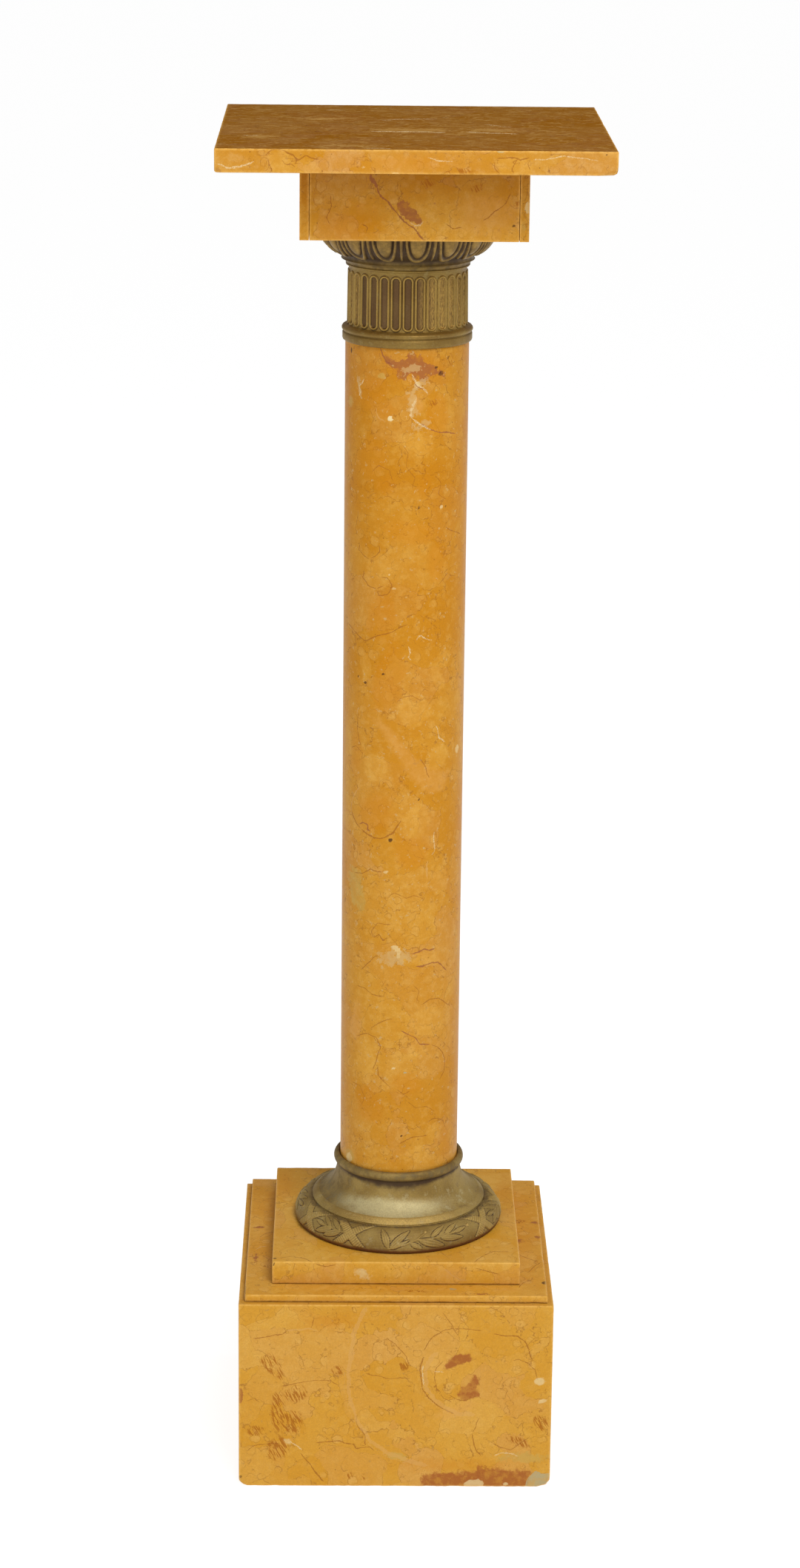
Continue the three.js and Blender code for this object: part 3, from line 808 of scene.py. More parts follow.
thin_low, thin_high = node_box("plinth_thin_slab")
THIN_TOP = read_marks("""
crack 0.7: 735,1695 737,1706 738,1717 741,1726
crack 0.6: 690,1688 706,1697 722,1703 734,1706; 712,1720 720,1712 730,1705; 700,1740 708,1732 722,1728; \
    350,1672 362,1665 376,1662
joint 1.4: 331,1700 330,1722 331,1748
white 0.6: 345,1688 352,1684 362,1683
plum 1.2: 722,1652,8,5
plum 1.4: 727,1671,8,5,20
stroke 1.6: 700,1650,10,6
plum 1: 351,1658,9,3
stroke 1.5: 358,1710,3,3; 560,1744,18,3
chalk 0.6: 343,1718,2,2
plum 2: 344,1700,3,14
plum 2.4: 700,1676,10,5,-20; 640,1748,14,2.5
grey 0.8: 611,1741,6,3
dark 0.7: 737,1733,5,6,20
rose 2.5: 690,1742,16,4
""")
worn_block(
    "plinth_thin_slab",
    marble("marble_thin", (40, 260, 310), kinds(THIN_TOP), gain=(1.06, 1.14, 1.5),
           # shade: painted shade in the joint along the foot of the slab
           shade=(159.8, 158.1, (0.3, 0.22, 0.2)), calm=0.3),
    seed=5,
    steps=(2.0, 2.0, 2.0),
    ease=SLAB_EASE * 0.8,
    chips=[
        (thin_low[0], thin_low[1], thin_high[2], 5, 5, 6, 2.6),
        (thin_high[0], -40, thin_high[2], 3, 14, 4, 1.8),
    ],
    top=THIN_TOP,
)

upper_low, upper_high = node_box("plinth_upper_slab")
UPPER_FRONT = read_marks("""
band 1.6: 599,1714 609,1722 620,1728 632,1731
crack 0.6: 425,1706 440,1711 455,1708
crack 0.5: 640,1712 655,1717 676,1722
chalk 3.2: 488,1720,13,6,-25
rose 2: 443,1716,9,4
rose 3: 612,1721,22,7
dark 0.8: 368,1706,3,4
""")
UPPER_TOP = read_marks("""
crack 0.6: 374,1700 392,1697 410,1700 428,1706; 640,1706 652,1696 668,1690 690,1691
deep 8: 384,1600,18,60; 684,1610,16,60
cream 4: 668,1700,22,6
dark 0.8: 370,1700,3,3
""")
worn_block(
    "plinth_upper_slab",
    marble("marble_upper", (750, 20, 120), kinds(UPPER_FRONT, UPPER_TOP), gain=(1.08, 1.2, 1.6),
           # shade: painted shade in the joint along the foot of the slab
           shade=(165.8, 164.3, (0.4, 0.3, 0.24)), calm=0.3),
    seed=8,
    steps=(2.0, 2.4, 1.8),
    wear=0.5,
    chips=[(upper_low[0], upper_low[1], upper_high[2], 3.0, 4, 4, 3.0)],
    front=UPPER_FRONT,
    top=UPPER_TOP,
)

top_low, top_high = node_box("top_slab")
SLAB_FRONT = read_marks("""
white 1.3: 291,220 297,223 303,225 306,226.5 315,224.5 328,223 337,221 343,218
crack 0.9: 356,212 360,208 367,203 380,203 389,207 397,210 403,217 413,210 423,215 433,217
crack 0.8: 363,213 364,221 368,230 369,236
crack 0.5: 377,214 385,222 392,220 402,226; 690,213 694,222 690,230 696,236; 716,213 712,222 717,232
white 0.6: 577,213 585,215 593,217 603,217 613,219; 717,217 733,214 748,214 763,212 790,214 810,217
crack 0.6: 668,218 676,214 690,213 702,216 716,213; 668,218 668,228 676,236
cream 2.5: 362,206 380,204 400,214 420,216 436,228 430,238 370,238 364,226
cream 2: 668,216 690,212 717,214 718,236 676,238
chalk 0.8: 490,225,2.4,2.4; 535,235,5,1.6
grey 0.6: 676,205,6,2.4
stroke 1.6: 620,233,16,4
cream 1.6: 827,209,11,5
dark 0.6: 819.5,210,1.6,1.6
deep 6: 545,220,60,12
""")
SLAB_TOP = read_marks("""
bright 2.6: 500,177.6 520,177.2 536,178 548,177.6 560,178.2 575,178 603,178.8
bright 1.2: 515,162.5 530,161.5 548,161 570,160.6 590,160.8
bright 2: 630,178 645,178.8 663,179.8 680,180 700,181
bright 0.9: 655,168 668,169.5 680,171 692,171.6; 325,182.6 340,183.2 352,183; 490,200.6 510,200.2 \
    530,200.6
white 2: 440,149 452,148 466,149
deep 3: 683,180,9,6
pale 6: 552,176,56,24; 668,176,36,22
pale 5: 350,184,24,14; 480,197,44,10; 440,160,40,16
""")
worn_block(
    "top_slab",
    # brown darkens the slab's top: real browning and painted shade
    marble("marble_top", (15, 700, 60), kinds(SLAB_FRONT, SLAB_TOP), gain=(0.9, 0.93, 1.5), brown=0.85),
    seed=12,
    steps=(2.2, 3.0, 1.8),
    wear=0.6,
    chips=[
        (top_high[0], top_low[1], top_low[2], 11, 8, 6, 4.2),
        (top_low[0], top_low[1], top_low[2], 4, 4, 4, 2.0),
    ],
    front=SLAB_FRONT,
    top=SLAB_TOP,
)

# Painted shade: the abacus darkens towards its top, under the slab
ABACUS_SHADE = (1000, 1046, (0.72, 0.68, 0.66))
ABACUS_EASE = 0.35
ABACUS_FRONT = read_marks("""
purple 2.4: 499,235 501,240 504,246 508,252 511,258
purple 1.2: 509,254 513,263 518,269 523,273 533,283 542,293 553,303
purple 0.8: 536,287 548,301 558,308 565,315 572,327
white 1: 553,299 560,306 567,305 573,297
crack 0.5: 690,260 682,275 672,284 650,300; 600,300 612,308 628,306; 445,262 447,278 442,292 446,306; \
    486,300 495,308 492,318
plum 1: 537,274 543,268 549,272 553,281 563,287 572,296 568,303 560,301 550,295 541,290
dark 0.5: 694,306,1.8,2.4
stroke 1.6: 578,247,8,6; 645,255,8,5
stroke 1.4: 698,275,7,3
deep 8: 480,300,40,24
rose 8: 660,290,40,24
""")
worn_block(
    "abacus_block",
    marble("marble_abacus", (220, 33, 5), kinds(ABACUS_FRONT), gain=(1.03, 1.1, 1.5), shade=ABACUS_SHADE),
    seed=15,
    steps=(1.8, 4.0, 1.8),
    ease=ABACUS_EASE,
    front=ABACUS_FRONT,
)
worn_block(
    "abacus_side_left",
    marble("marble_side_left", (90, 510, 44), gain=(0.97, 0.95, 0.95), shade=ABACUS_SHADE),
    seed=17,
    ease=ABACUS_EASE,
)
SIDE_FRONT = read_marks("""
crack 0.5: 410,245 411,270
chalk 0.8: 712,280,4,8
green 1.2: 707,311,4,8
""")
worn_block(
    "abacus_side_right",
    marble("marble_side_right", (600, 130, 250), kinds(SIDE_FRONT), (0.97, 0.97, 0.95), shade=ABACUS_SHADE),
    seed=19,
    steps=(1.5, 4.0, 1.8),
    ease=ABACUS_EASE,
    front=SIDE_FRONT,
)

# Shaft

SHAFT_EASE = 0.6
AXIS_GAP = 0.01
shaft_h = shaft_high[2] - shaft_low[2]
shaft_profile = resample(
    [(AXIS_GAP, 0), (shaft_r - SHAFT_EASE, 0), (shaft_r, SHAFT_EASE), (shaft_r, shaft_h - SHAFT_EASE),
     (shaft_r - SHAFT_EASE, shaft_h), (AXIS_GAP, shaft_h)],
    1.8,
)
SHAFT_FRONT = read_marks("""
purple 1.2: 513,468 517,478 522,488 530,492
white 1.6: 556,506 558,512 565,520 572,524 579,534
purple 0.8: 558,518 568,524 577,528
white 2: 563,538 559,545 555,552 553,560 557,566
white 1.4: 557,566 563,572 572,576 582,581
purple 1: 566,572 580,580 595,585 606,584 615,586; 485,1113 490,1110 497,1114 496,1121 502,1124; 555,1290 \
    563,1287 572,1282 580,1284 588,1281; 560,1305 570,1306 580,1302 590,1299 596,1304 603,1311
crack 0.4: 540,600 552,612 548,630 560,645 556,662; 500,640 512,628 526,636 532,652; 584,640 596,652 \
    592,668 604,676; 520,1212 534,1206 548,1214 560,1208 574,1216; 556,1330 566,1340 562,1356; 474,1460 \
    486,1466 492,1480 486,1496; 548,1486 560,1496 574,1494 588,1502
white 1: 492,511 489,517 485,522 487,529 484,536; 589,980 592,990 592,997 602,1003; 586,1122 585,1132 \
    587,1142 587,1150 582,1157
band 1: 508,550 508,558 513,565 521,570
crack 0.6: 486,733 484,742 491,750 500,757 502,764; 498,755 506,752 513,746 512,736; 600,712 612,718 \
    622,722; 503,1268 501,1258 510,1247 520,1248 530,1247; 480,1330 492,1334 502,1342 518,1348; 500,1390 \
    508,1384 515,1380 524,1378 532,1377; 568,1358 580,1350 592,1348 602,1356 608,1358; 582,1410 590,1414 \
    597,1422 600,1432 600,1446 592,1460; 538,1545 552,1538 566,1534 578,1532; 575,1518 586,1509 598,1512 \
    602,1524
crack 0.5: 492,768 490,780 497,790 507,795 520,790; 507,795 512,805 524,803 530,792 524,781 512,779; \
    590,792 598,782 606,772; 540,942 556,940 566,946 572,944; 484,960 483,980 484,998 490,1010; 473,1012 \
    482,1008 490,1018 488,1028; 566,1023 575,1040 582,1052; 477,1178 490,1180 500,1174 510,1178 520,1177; \
    486,1310 495,1302 505,1292 514,1290; 480,1400 495,1396 508,1402 514,1414 508,1432 502,1446; 508,1432 \
    510,1452 520,1462 528,1470; 534,1470 545,1478 556,1472
crack 0.7: 470,842 478,850 486,860 492,865 505,860 520,857 537,850 552,842; 503,1268 512,1262 518,1272 \
    524,1266
white 0.8: 561,866 567,857 576,863 584,866
white 0.9: 551,872 554,880 551,888 556,893
crack 0.9: 474,1082 474,1092 477,1102 481,1112 487,1120
crack 1: 487,1120 497,1128 505,1132 514,1133 522,1131 531,1125 537,1117 542,1107
band 1.6: 475,1100 474,1085 478,1074 486,1064; 577,1162 576,1174 577,1188
purple 0.7: 540,1391 547,1395 560,1401 567,1410 582,1410
plum 2.6: 521,479 534,487 546,484 556,478 566,481 574,490 588,497 598,502 602,510 590,507 577,506 574,516 \
    562,512 552,505 545,514 537,511 534,500 525,492 520,486
dark 0.8: 596,505,5,3.5,30; 475,473,2.5,5; 493,922,3.2,2.6; 527,1135,3.4,2.6,30
dark 0.6: 589,497,2.5,2.5; 605,482,3,2,40; 602,684,1.8,2.6; 517,910,2.4,1.8; 483,913,2,2; \
    566,1080,1.8,1.8; 547,1165,1.8,1.6; 541,1534,1.8,1.8
stroke 1.5: 608,486,4,9
stroke 1.2: 582,545,8,4
rose 2: 557,545,10,14,30
milk 2: 556,545,7,22,8; 566,520,12,6,40; 570,574,16,5,25
milk 1.6: 556,498,14,5,10; 485,522,4,16,10
dot 0.3: 527,566,4.2,4.2
green 1.4: 474,542,9,8
green 1: 516,507,5,5
chalk 0.8: 564,519,5,4,30; 520,1179,4,3; 471,1563,8,7
deep 3: 522,550,14,14; 590,560,20,28
deep 4: 521,655,17,15; 575,655,10,16; 515,835,26,34; 480,1010,12,34; 590,760,20,30; 525,912,20,58,-8; \
    556,1150,30,26; 600,1545,10,26
deep 5: 556,720,42,18,-10; 500,530,26,26; 500,620,24,30; 560,500,50,20; 507,1100,28,30; 552,1462,22,20; \
    500,1490,24,34
cream 5: 563,600,24,16
cream 2.5: 508,770,22,28
chalk 0.7: 526,777,2.4,2.4; 532,795,3,2; 596,685,2.4,3
dark 0.7: 566,686,2.2,2.2
rose 3.5: 500,968 516,974 534,992 552,1016 572,1034 606,1042 600,1066 580,1072 552,1050 536,1020 518,992
cream 2.2: 592,1025,20,18; 562,1110,20,24; 560,960,24,24; 601,888,12,14; 592,912,12,20,20; 492,900,12,22
cream 2.6: 507,1040,22,22; 592,1190,16,22
chalk 1.2: 617,1011,6,7
green 3: 480,1200,17,30
green 2: 488,1220,11,14
milk 2.6: 531,1293,24,10
chalk 0.5: 528,1279 535,1277 542,1283 540,1295 536,1294 536,1286 530,1283
cream 1: 556,1287 590,1286 593,1296 580,1303 558,1304
cream 3: 578,1380,32,26; 492,1430,20,34
cream 2: 560,1420,14,10
cream 1.6: 585,1527,14,15
cream 1.8: 562,1557,24,16
chalk 0.6: 530,1443,2.4,2
grey 0.6: 546,1449,2.4,2
rose 4: 480,1380,12,34
green 1.2: 471,1563,12,9
""")


def shaft_layers(turn, z, row, height):
    """Fields of the placed marks on the shaft, from arc length and height."""
    arc_length = np.radians((turn + 180) % 360 - 180) * shaft_r
    found = paint(np.column_stack([arc_length, z]), on_tube(shaft_x, shaft_r), *SHAFT_FRONT, 31)
    found["edge"] = np.zeros(len(turn))
    return found


# shade: darker and more orange towards the top, under the capital: painted shade and deeper colour
shaft_marble = marble("marble_shaft", (0, 0, 0), kinds(SHAFT_FRONT), gain=(0.94, 0.95, 1.1),
                      shade=(520, 900, (0.93, 0.88, 0.66)))
turned_piece("shaft", "marble", shaft_marble, shaft_profile, 192, shaft_layers)

# Capital

CAPITAL_COLUMNS = 744
FLUTES = 31
FLUTE_TURN = -0.4
# Heights of the loops, and from a loop's middle line out: hollow, bead and groove
FLUTE_FOOT = 12.3
FLUTE_TOP = 54.0
FLUTE_OUTER = 4.15
HOLLOW_RADIUS = 2.6
HOLLOW_DEPTH = 1.0
BEAD_AT = 3.3
BEAD_HALF = 0.85
BEAD_RISE = 0.75
GROOVE_AT = 4.4
GROOVE_WIDTH = 0.34
GROOVE_DEPTH = 0.42
# Eggs, shells and darts: turn in degrees, rise in millimetres, half-widths as shares of the pitch
EGGS = 16
EGG_TURN = 5.8
EGG_RISE = 2.35
EGG_HALF = 0.262
SHELL_RISE = 1.55
SHELL_HALF = 0.335
DART_RISE = 1.7

# The profile, from the foot up, as radius and height above the foot
NECK_FOOT = 11.7
OVOLO_CENTRE = 45.9
OVOLO_ROUND = 20.2
OVOLO_TOP = 86.1
band = [
    (AXIS_GAP, 6), (47.7, 6), (47.7, 0), (48.8, 0), (49.4, 0.5), (49.7, 1.4), (49.7, 5.4), (49.3, 6.1),
    (48.6, 6.4), (48.6, 6.8), *arc(48.1, 8.9, 2.1, 2.1, -60, 70, 7), (47.2, 11.2), (46.5, 11.5),
    (46.2, NECK_FOOT),
]
neck = resample([(46.2, NECK_FOOT), (45.6, 12.1), (45.5, 12.4), (45.45, 17.5)], 0.45).tolist()
neck += resample([(45.45, 17.5), (45.1, 49.0)], 3.5).tolist()[1:]
neck += resample([(45.1, 49.0), (45.0, 55.6)], 0.45).tolist()[1:]
rings = [
    (45.2, 56.6), *arc(46.2, 57.9, 1.2, 0.9, -70, 80, 5), (46.6, 59.0), (47.5, 59.0),
    *arc(50.9, 59.0, 3.6, 3.1, 175, 92, 7), (50.9, 62.3), (50.2, 62.7),
]
CROWN_ROW = 7
ovolo = arc(OVOLO_CENTRE, OVOLO_TOP, OVOLO_ROUND, OVOLO_ROUND, -76, 0, 38)
lid = [(62.0, OVOLO_TOP + 0.05), (AXIS_GAP, OVOLO_TOP + 0.05)]
capital_profile = np.array([*band, *neck, *rings, *ovolo, *lid], float)
neck_row, rings_row, ovolo_row, lid_row = np.cumsum([len(part) for part in (band, neck, rings, ovolo)])


def in_rows(row, first, end):
    """Where a row of the profile is in a part of it."""
    return (row >= first) & (row < end)


def off_nearest(turn, count, first):
    """Angle from the nearest of some equally spaced things, in degrees."""
    pitch = 360 / count
    return (turn - first + pitch / 2) % pitch - pitch / 2


def capital_relief(turn, row):
    """Looped flutes on the neck, and eggs, shells and darts on the ovolo."""
    across = np.radians(off_nearest(turn, FLUTES, FLUTE_TURN)) * capital_profile[row, 0]
    half_height = (FLUTE_TOP - FLUTE_FOOT) / 2
    up = np.abs(capital_profile[row, 1] - (FLUTE_FOOT + FLUTE_TOP) / 2) - (half_height - FLUTE_OUTER)
    ring = np.hypot(across, np.maximum(up, 0))
    bead = np.sqrt(np.clip(1 - ((ring - BEAD_AT) / BEAD_HALF) ** 2, 0, 1)) * BEAD_RISE
    hollow = -HOLLOW_DEPTH * np.clip(1 - (ring / HOLLOW_RADIUS) ** 6, 0, 1) ** 0.5
    groove = -GROOVE_DEPTH * np.exp(-(((ring - GROOVE_AT) / GROOVE_WIDTH) ** 2))
    fluting = np.where(ring < HOLLOW_RADIUS, hollow, bead) + groove

    level = (row - ovolo_row) / (lid_row - ovolo_row - 1)
    share = off_nearest(turn, EGGS, EGG_TURN) / (360 / EGGS)
    egg = np.hypot(share / EGG_HALF, (1 - level) / 0.7)
    rise = EGG_RISE * np.sqrt(np.clip(1 - egg**2, 0, 1))
    shell = np.hypot(share / SHELL_HALF, (1 - level) / 0.84)
    rim = SHELL_RISE * np.sqrt(np.clip(1 - ((shell - 1.0) / 0.17) ** 2, 0, 1)) * (shell > 0.8)
    dart_half = 0.035 + 0.055 * np.clip((level - 0.1) / 0.9, 0, 1)
    from_dart = 0.5 - np.abs(share)
    dart = DART_RISE * np.clip(1 - from_dart / dart_half, 0, 1) ** 0.7 * np.clip((level - 0.12) / 0.12, 0, 1)
    groove = -0.9 * np.exp(-(((egg - 1.08) / 0.07) ** 2)) * (level > 0.2)
    carved = (np.maximum(np.maximum(rise, rim), dart) + groove) * np.clip(level / 0.06, 0, 1)
    height = np.where(in_rows(row, neck_row, rings_row), fluting, 0)
    return np.where(in_rows(row, ovolo_row, lid_row), carved, height)


# Where the flutes' recesses are gilt: middle and reach in degrees to the right of the front, and weight
GILT_FLUTES = [(62, 40, 0.8), (-66, 14, 0.6), (20, 9, 0.38)]
BACK_ANGLE = 100


def capital_layers(turn, z, row, height):
    """Where the flutes' recesses are gilt, and where the capital is darker: over the ovolo, most in the
    grooves round the eggs, and on the rings below it.
    """
    side = (turn - FLUTE_TURN + 180) % 360 - 180
    flute = np.round(side / (360 / FLUTES))
    keep = np.abs(np.sin(flute * 91.7 + 4.1) * 437.5) % 1
    bright = np.where(np.abs(side) > BACK_ANGLE, keep * 0.7, 0)
    for middle, reach, weight in GILT_FLUTES:
        bright = np.maximum(bright, weight * np.clip((reach - np.abs(side - middle)) / 4 + 0.5, 0, 1))
    recess = np.clip(-height / 0.5, 0, 1) * in_rows(row, neck_row, rings_row)
    low = np.clip(1.2 - height / 1.3, 0, 1)
    stain = in_rows(row, ovolo_row, lid_row) * (0.44 + 0.4 * low)
    return {"gold": bright * recess, "stain": stain + in_rows(row, rings_row + CROWN_ROW, ovolo_row) * 0.45}


capital_brass = brass("brass_capital", ("stain",), sunk=-0.55, hollow=0.8, gilt=0.42,
                      gain=(0.8, 0.76, 0.67), rough=0.46)
turned_piece("capital", "brass", capital_brass, capital_profile, CAPITAL_COLUMNS, capital_layers,
             capital_relief)

# Base mount

BASE_COLUMNS = 900
base_low, _ = node_box("base_mount")
BORE_PLAY = 0.4
bore = shaft_r + BORE_PLAY
TORUS_R = 69.6
TORUS_Z = 3.0
TORUS_W = 14.2
TORUS_H = 15.2
# Length of the torus's face from its foot to its top, and the radii at its foot, its middle and its top
TORUS_FACE = math.pi / 4 * (TORUS_W + TORUS_H)
FOOT_RADIUS = 84
MIDDLE_RADIUS = 79
TOP_RADIUS = 71
BELL_STEPS = 18


def bow(points, steps):
    """Profile points on a curve from the first to the last of three points, drawn to the middle one."""
    (r0, z0), (r1, z1), (r2, z2) = points
    out = []
    for k in range(steps + 1):
        t = k / steps
        a, b, c = (1 - t) ** 2, 2 * t * (1 - t), t * t
        out.append((a * r0 + b * r1 + c * r2, a * z0 + b * z1 + c * z2))
    return out


# The profile, from the bore's foot outward and up, as radius and height above the foot
foot = [(bore, 0.05), (82.4, 0.05), (83.2, 0.9), (83.7, 2.2)]
torus = arc(TORUS_R, TORUS_Z, TORUS_W, TORUS_H, 0, 88, 54)
fillet = [
    (69.4, 18.25), (69.5, 18.7), (69.9, 19.0), (69.9, 19.6), (69.5, 20.1), (66.4, 22.6), (65.6, 23.1),
    (64.9, 23.2), (64.6, 23.3),
]
bell = bow([(64.4, 23.4), (50.6, 30.0), (49.5, 48.6)], BELL_STEPS)
collar = [
    *arc(49.4, 52.4, 3.1, 3.7, -80, 88, 12), (48.6, 56.0), (bore + 0.1, 55.4), (bore, 53.0), (bore, 0.05),
]
base_profile = np.array([*foot, *torus, *fillet, *bell, *collar], float)
torus_row, fillet_row, bell_row, collar_row = np.cumsum([len(part) for part in (foot, torus, fillet, bell)])

# Leaves of the two sprigs: angle and share of the torus's face at the root and at the tip, and width in mm
LEAVES = [
    (-6.0, 0.08, -10.5, 0.8, 5.6), (-5.0, 0.12, 6.5, 0.74, 5.2), (-4.5, 0.06, 6.0, 0.38, 2.8),
    (6.5, 0.26, 13.0, 0.05, 3.8), (11.5, 0.36, 26.0, 0.07, 6.2), (19.0, 0.42, 29.0, 0.8, 4.8),
    (28.0, 0.46, 38.0, 0.78, 4.8), (25.0, 0.34, 39.0, 0.22, 4.6), (34.0, 0.46, 43.5, 0.52, 3.6),
    (-37.0, 0.46, -46.0, 0.84, 4.8), (-36.5, 0.42, -47.0, 0.12, 4.8), (-44.0, 0.46, -53.0, 0.82, 4.6),
    (-43.5, 0.42, -54.0, 0.14, 4.6), (-49.0, 0.46, -57.5, 0.5, 3.6),
]
STEMS = [
    (-6.5, 0.06, 2.5, 0.2), (2.5, 0.2, 10.0, 0.37), (10.0, 0.37, 24.0, 0.38), (24.0, 0.38, 40.0, 0.5),
    (10.5, 0.4, 15.5, 0.6), (-31.0, 0.42, -52.0, 0.46), (-33.0, 0.45, -36.5, 0.66),
]
STEM_RISE = 0.55
STEM_HALF = 0.65
BERRIES = [(15.8, 0.63), (-37.0, 0.7), (44.5, 0.55)]
BERRY_RISE = 0.9
BERRY_RADIUS = 1.5
# Crossed ribbons: angles of the crossings, tilt in degrees, width and pitch of the ribs in millimetres
RIBBONS = (-29.0, -63.0)
RIBBON_SHARE = 0.42
RIBBON_TILT = 43.0
RIBBON_WIDTH = 6.6
RIBBON_PITCH = 1.9
RIBBON_RISE = 0.62
RIB_RISE = 0.24
REPEAT = 120


def leaf_relief(x, y, root, tip, width):
    """Height of one pointed leaf with a vein and a sunk outline, from coordinates in millimetres."""
    middle = ((root[0] + tip[0]) / 2, (root[1] + tip[1]) / 2)
    length = math.hypot(tip[0] - root[0], tip[1] - root[1])
    c, s = (tip[0] - root[0]) / length, (tip[1] - root[1]) / length
    u = (x - middle[0]) * c + (y - middle[1]) * s
    v = (y - middle[1]) * c - (x - middle[0]) * s
    along = u / (length / 2)
    outline = width / 2 * np.clip(1 - along**2, 0, 1) ** 0.75 * (1 - 0.2 * along)
    out = np.abs(v) - outline
    inside = np.clip(-out / np.maximum(outline, 1e-6), 0, 1) * (np.abs(along) < 1)
    vein = np.exp(-((v / 0.32) ** 2))
    rim = np.exp(-(((inside - 0.24) / 0.16) ** 2))
    sunk = np.exp(-(((out - 0.3) / 0.4) ** 2)) * (np.abs(along) < 1.05)
    top = np.clip(inside * 5, 0, 1) * (0.36 + 0.34 * rim + 0.32 * vein)
    return np.where(inside > 0, top, 0), -0.22 * sunk


def on_face(angle, share):
    """A place on the torus's face in millimetres, from an angle and a share of its length."""
    radius = FOOT_RADIUS + (TOP_RADIUS - FOOT_RADIUS) * share
    return np.radians(angle) * radius, share * TORUS_FACE


def base_relief(turn, row):
    """Laurel sprigs and crossed ribbons in low relief on the torus, three times round."""
    share = (row - torus_row) / (fillet_row - torus_row - 1)
    local = (turn + 75) % REPEAT - 75
    r = np.maximum(base_profile[row, 0], 1)
    x = np.radians(local) * r
    y = share * TORUS_FACE
    height = np.zeros(turn.shape)
    sunk = np.zeros(turn.shape)
    for root_angle, root_share, tip_angle, tip_share, width in LEAVES:
        leaf, moat = leaf_relief(x, y, on_face(root_angle, root_share), on_face(tip_angle, tip_share), width)
        height = np.maximum(height, leaf)
        sunk = np.minimum(sunk, moat)
    for a0, s0, a1, s1 in STEMS:
        dx, dy = math.radians(a1 - a0) * MIDDLE_RADIUS, (s1 - s0) * TORUS_FACE
        px, py = np.radians(local - a0) * r, (share - s0) * TORUS_FACE
        t = np.clip((px * dx + py * dy) / (dx * dx + dy * dy), 0, 1)
        away = np.hypot(px - t * dx, py - t * dy) / STEM_HALF
        height = np.maximum(height, STEM_RISE * np.sqrt(np.clip(1 - away**2, 0, 1)))
    for angle, at in BERRIES:
        away = np.hypot(np.radians(local - angle) * r, (share - at) * TORUS_FACE) / BERRY_RADIUS
        height = np.maximum(height, BERRY_RISE * np.sqrt(np.clip(1 - away**2, 0, 1)))
    py = (share - RIBBON_SHARE) * TORUS_FACE
    for angle in RIBBONS:
        for tilt in (RIBBON_TILT, 180 - RIBBON_TILT):
            for wrap in (0, REPEAT, -REPEAT):
                px = np.radians(local - angle - wrap) * r
                c, s = math.cos(math.radians(tilt)), math.sin(math.radians(tilt))
                across, along = py * c - px * s, px * c + py * s
                inside = np.clip((RIBBON_WIDTH / 2 - np.abs(across)) * 2.5, 0, 1)
                rib = RIB_RISE * np.cos(along * 2 * math.pi / RIBBON_PITCH)
                height = np.maximum(height, inside * (RIBBON_RISE + rib))
                beside = (np.abs(across) - RIBBON_WIDTH / 2 - 0.4) / 0.4
                sunk = np.minimum(sunk, -0.2 * np.exp(-(beside**2)))
    scored = 0.07 * np.sin(y * 2 * math.pi / 1.7 + 2.0 * np.sin(x / 9.0)) * np.sin(x / 5.0 + y)
    ground = np.where(height > 0.02, 0, sunk + scored)
    edge = np.clip(np.minimum(share, 1 - share) / 0.05, 0, 1)
    return np.where(in_rows(row, torus_row, fillet_row), (height + ground) * edge, 0)


def base_layers(turn, z, row, height):
    """The bell's pale front (patina and painted highlight) and left side (painted shade), the painted shadow
    and stain under the collar, the stained collar, the darker top of the torus, the fillet gilt with a
    painted highlight at the front, and the reddish foot.
    """
    up = z - base_low[2]
    side = (turn + 180) % 360 - 180
    on_bell = in_rows(row, bell_row, collar_row)
    # Dark under the collar, deepest at the front: painted shadow of the collar and a brown stain
    drop = 3.0 + 4.5 * np.exp(-((side / 30) ** 2))
    stain = np.exp(-np.clip((48.8 - up) / drop, 0, 9) ** 2) * on_bell
    # The torus darker along its top edge, under the fillet
    torus_head = in_rows(row, torus_row, fillet_row) * 0.55 * np.clip((up - 17.2) / 1.0, 0, 1)
    stain = np.maximum(stain, torus_head)
    # Painted shade on the bell's left side
    stain = np.maximum(stain, on_bell * 0.4 * np.clip((-side - 30) / 30, 0, 1))
    # The collar's own brown stain
    stain = np.maximum(stain, 0.42 * (row >= collar_row))
    facing = 0.2 + 0.9 * np.exp(-(((side + 8) / 42) ** 2))
    # The pale band across the bell's front: pale patina and a painted highlight
    bloom = np.exp(-(((up - 28.0) / 7.0) ** 2)) * facing * on_bell
    rust = np.clip(1.2 - up / 4.5, 0, 1)
    # Gilt on the fillet's front, which also stands for a painted highlight there
    gold = 0.55 * in_rows(row, fillet_row, bell_row) * np.exp(-((side / 42) ** 4))
    return {"stain": stain, "bloom": bloom, "rust": rust, "gold": gold}


base_brass = brass("brass_base", ("bloom", "stain", "rust"), sunk=-0.2, hollow=0.85, gilt=0.34,
                   gain=(1.03, 1.05, 1.25), rough=0.58)
turned_piece("base_mount", "brass", base_brass, base_profile, BASE_COLUMNS, base_layers, base_relief)

# Floor and light

# Reach in metres, paint, and the glow that makes the floor white
FLOOR_REACH = 30.0
FLOOR_GREY = 0.3
FLOOR_ROUGHNESS = 0.9
FLOOR_GLOW = 0.86

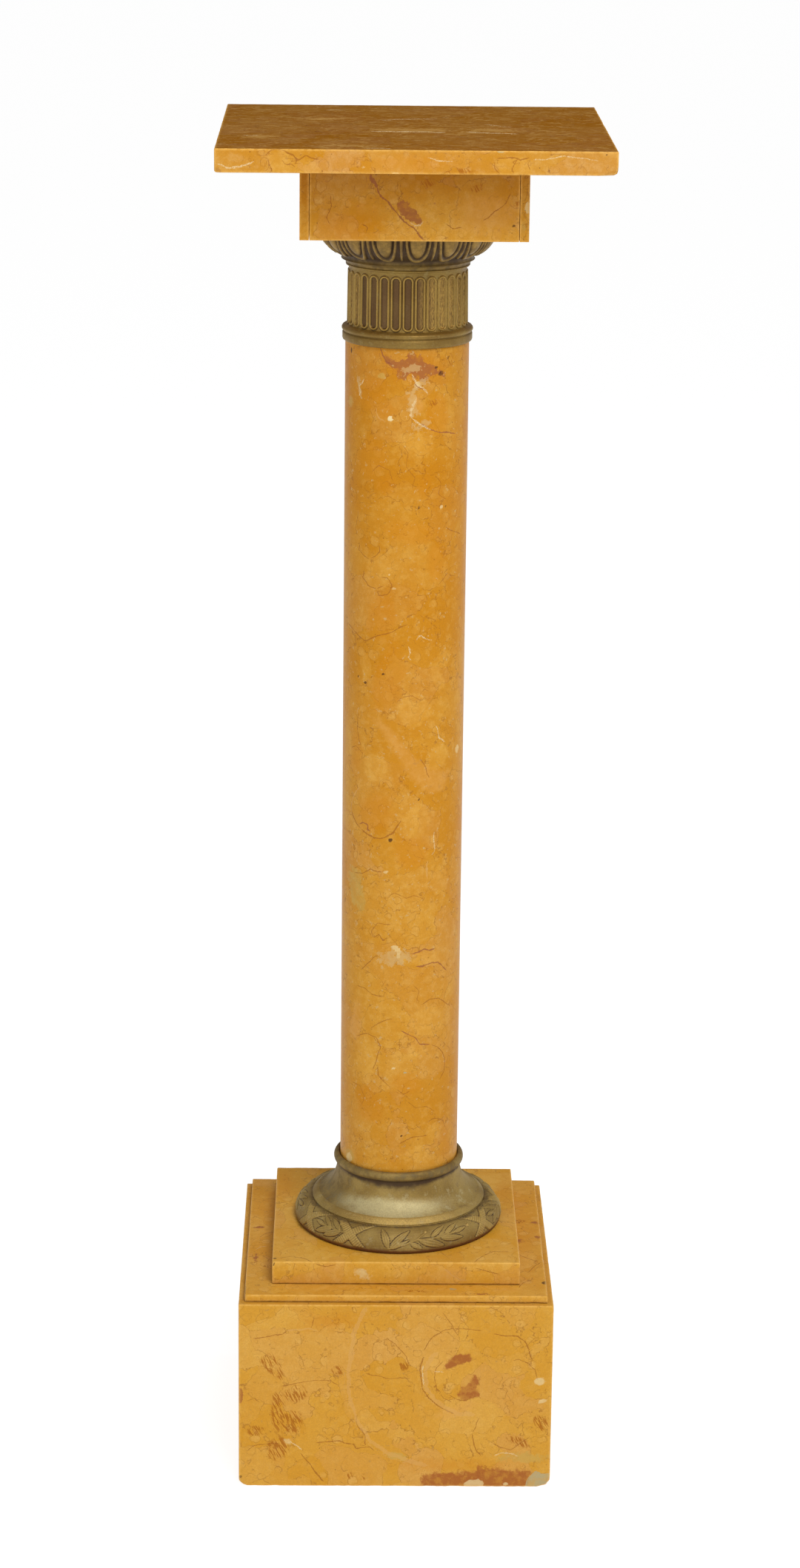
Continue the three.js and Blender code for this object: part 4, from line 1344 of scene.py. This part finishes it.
floor_mesh = bpy.data.meshes.new("floor")
corners = [(x * FLOOR_REACH, y * FLOOR_REACH, 0) for x, y in ((-1, -1), (1, -1), (1, 1), (-1, 1))]
floor_mesh.from_pydata(corners, [], [(0, 1, 2, 3)])
floor = bpy.data.objects.new("floor", floor_mesh)
bpy.context.scene.collection.objects.link(floor)
floor_look = Shader("floor_paint")
floor_look.plug(floor_look.bsdf.inputs["Base Color"], (FLOOR_GREY, FLOOR_GREY, FLOOR_GREY))
floor_look.bsdf.inputs["Roughness"].default_value = FLOOR_ROUGHNESS
floor_look.bsdf.inputs["Emission Color"].default_value = (1, 1, 1, 1)
floor_look.bsdf.inputs["Emission Strength"].default_value = FLOOR_GLOW
floor_mesh.materials.append(floor_look.material)


def area_light(name, place, look_at, size, power):
    """A soft square light that faces a point. Places and sizes are in metres."""
    data = bpy.data.lights.new(name, "AREA")
    data.shape = "SQUARE"
    data.size = size
    data.energy = power
    light = bpy.data.objects.new(name, data)
    bpy.context.scene.collection.objects.link(light)
    back = np.array(place, float) - np.array(look_at, float)
    back /= np.linalg.norm(back)
    side = np.cross((0, 0, 1), back)
    side /= np.linalg.norm(side)
    up = np.cross(back, side)
    light.matrix_world = Matrix([(side[i], up[i], back[i], place[i]) for i in range(3)] + [(0, 0, 0, 1)])


area_light("key", (0.8, -2.1, 3.2), (0, 0, 0.55), size=1.5, power=80)
area_light("fill", (-2.1, -2.5, 1.5), (0, 0, 0.55), size=1.8, power=15)
area_light("side", (2.9, 0.4, 1.5), (0, 0, 0.6), size=1.6, power=8)

# The backdrop is white to the camera, and dimmer as a light on the object
BACKDROP = 1.0
ROOM_LIGHT = 0.36
world = bpy.data.worlds.new("studio")
world.use_nodes = True
sky = world.node_tree
background = sky.nodes["Background"]
seen = sky.nodes.new("ShaderNodeLightPath").outputs["Is Camera Ray"]
glow = sky.nodes.new("ShaderNodeMapRange")
sky.links.new(seen, glow.inputs["Value"])
glow.inputs["To Min"].default_value = ROOM_LIGHT
glow.inputs["To Max"].default_value = BACKDROP
background.inputs["Color"].default_value = (1, 1, 1, 1)
sky.links.new(glow.outputs["Result"], background.inputs["Strength"])
bpy.context.scene.world = world
bpy.context.scene.view_settings.view_transform = "Standard"
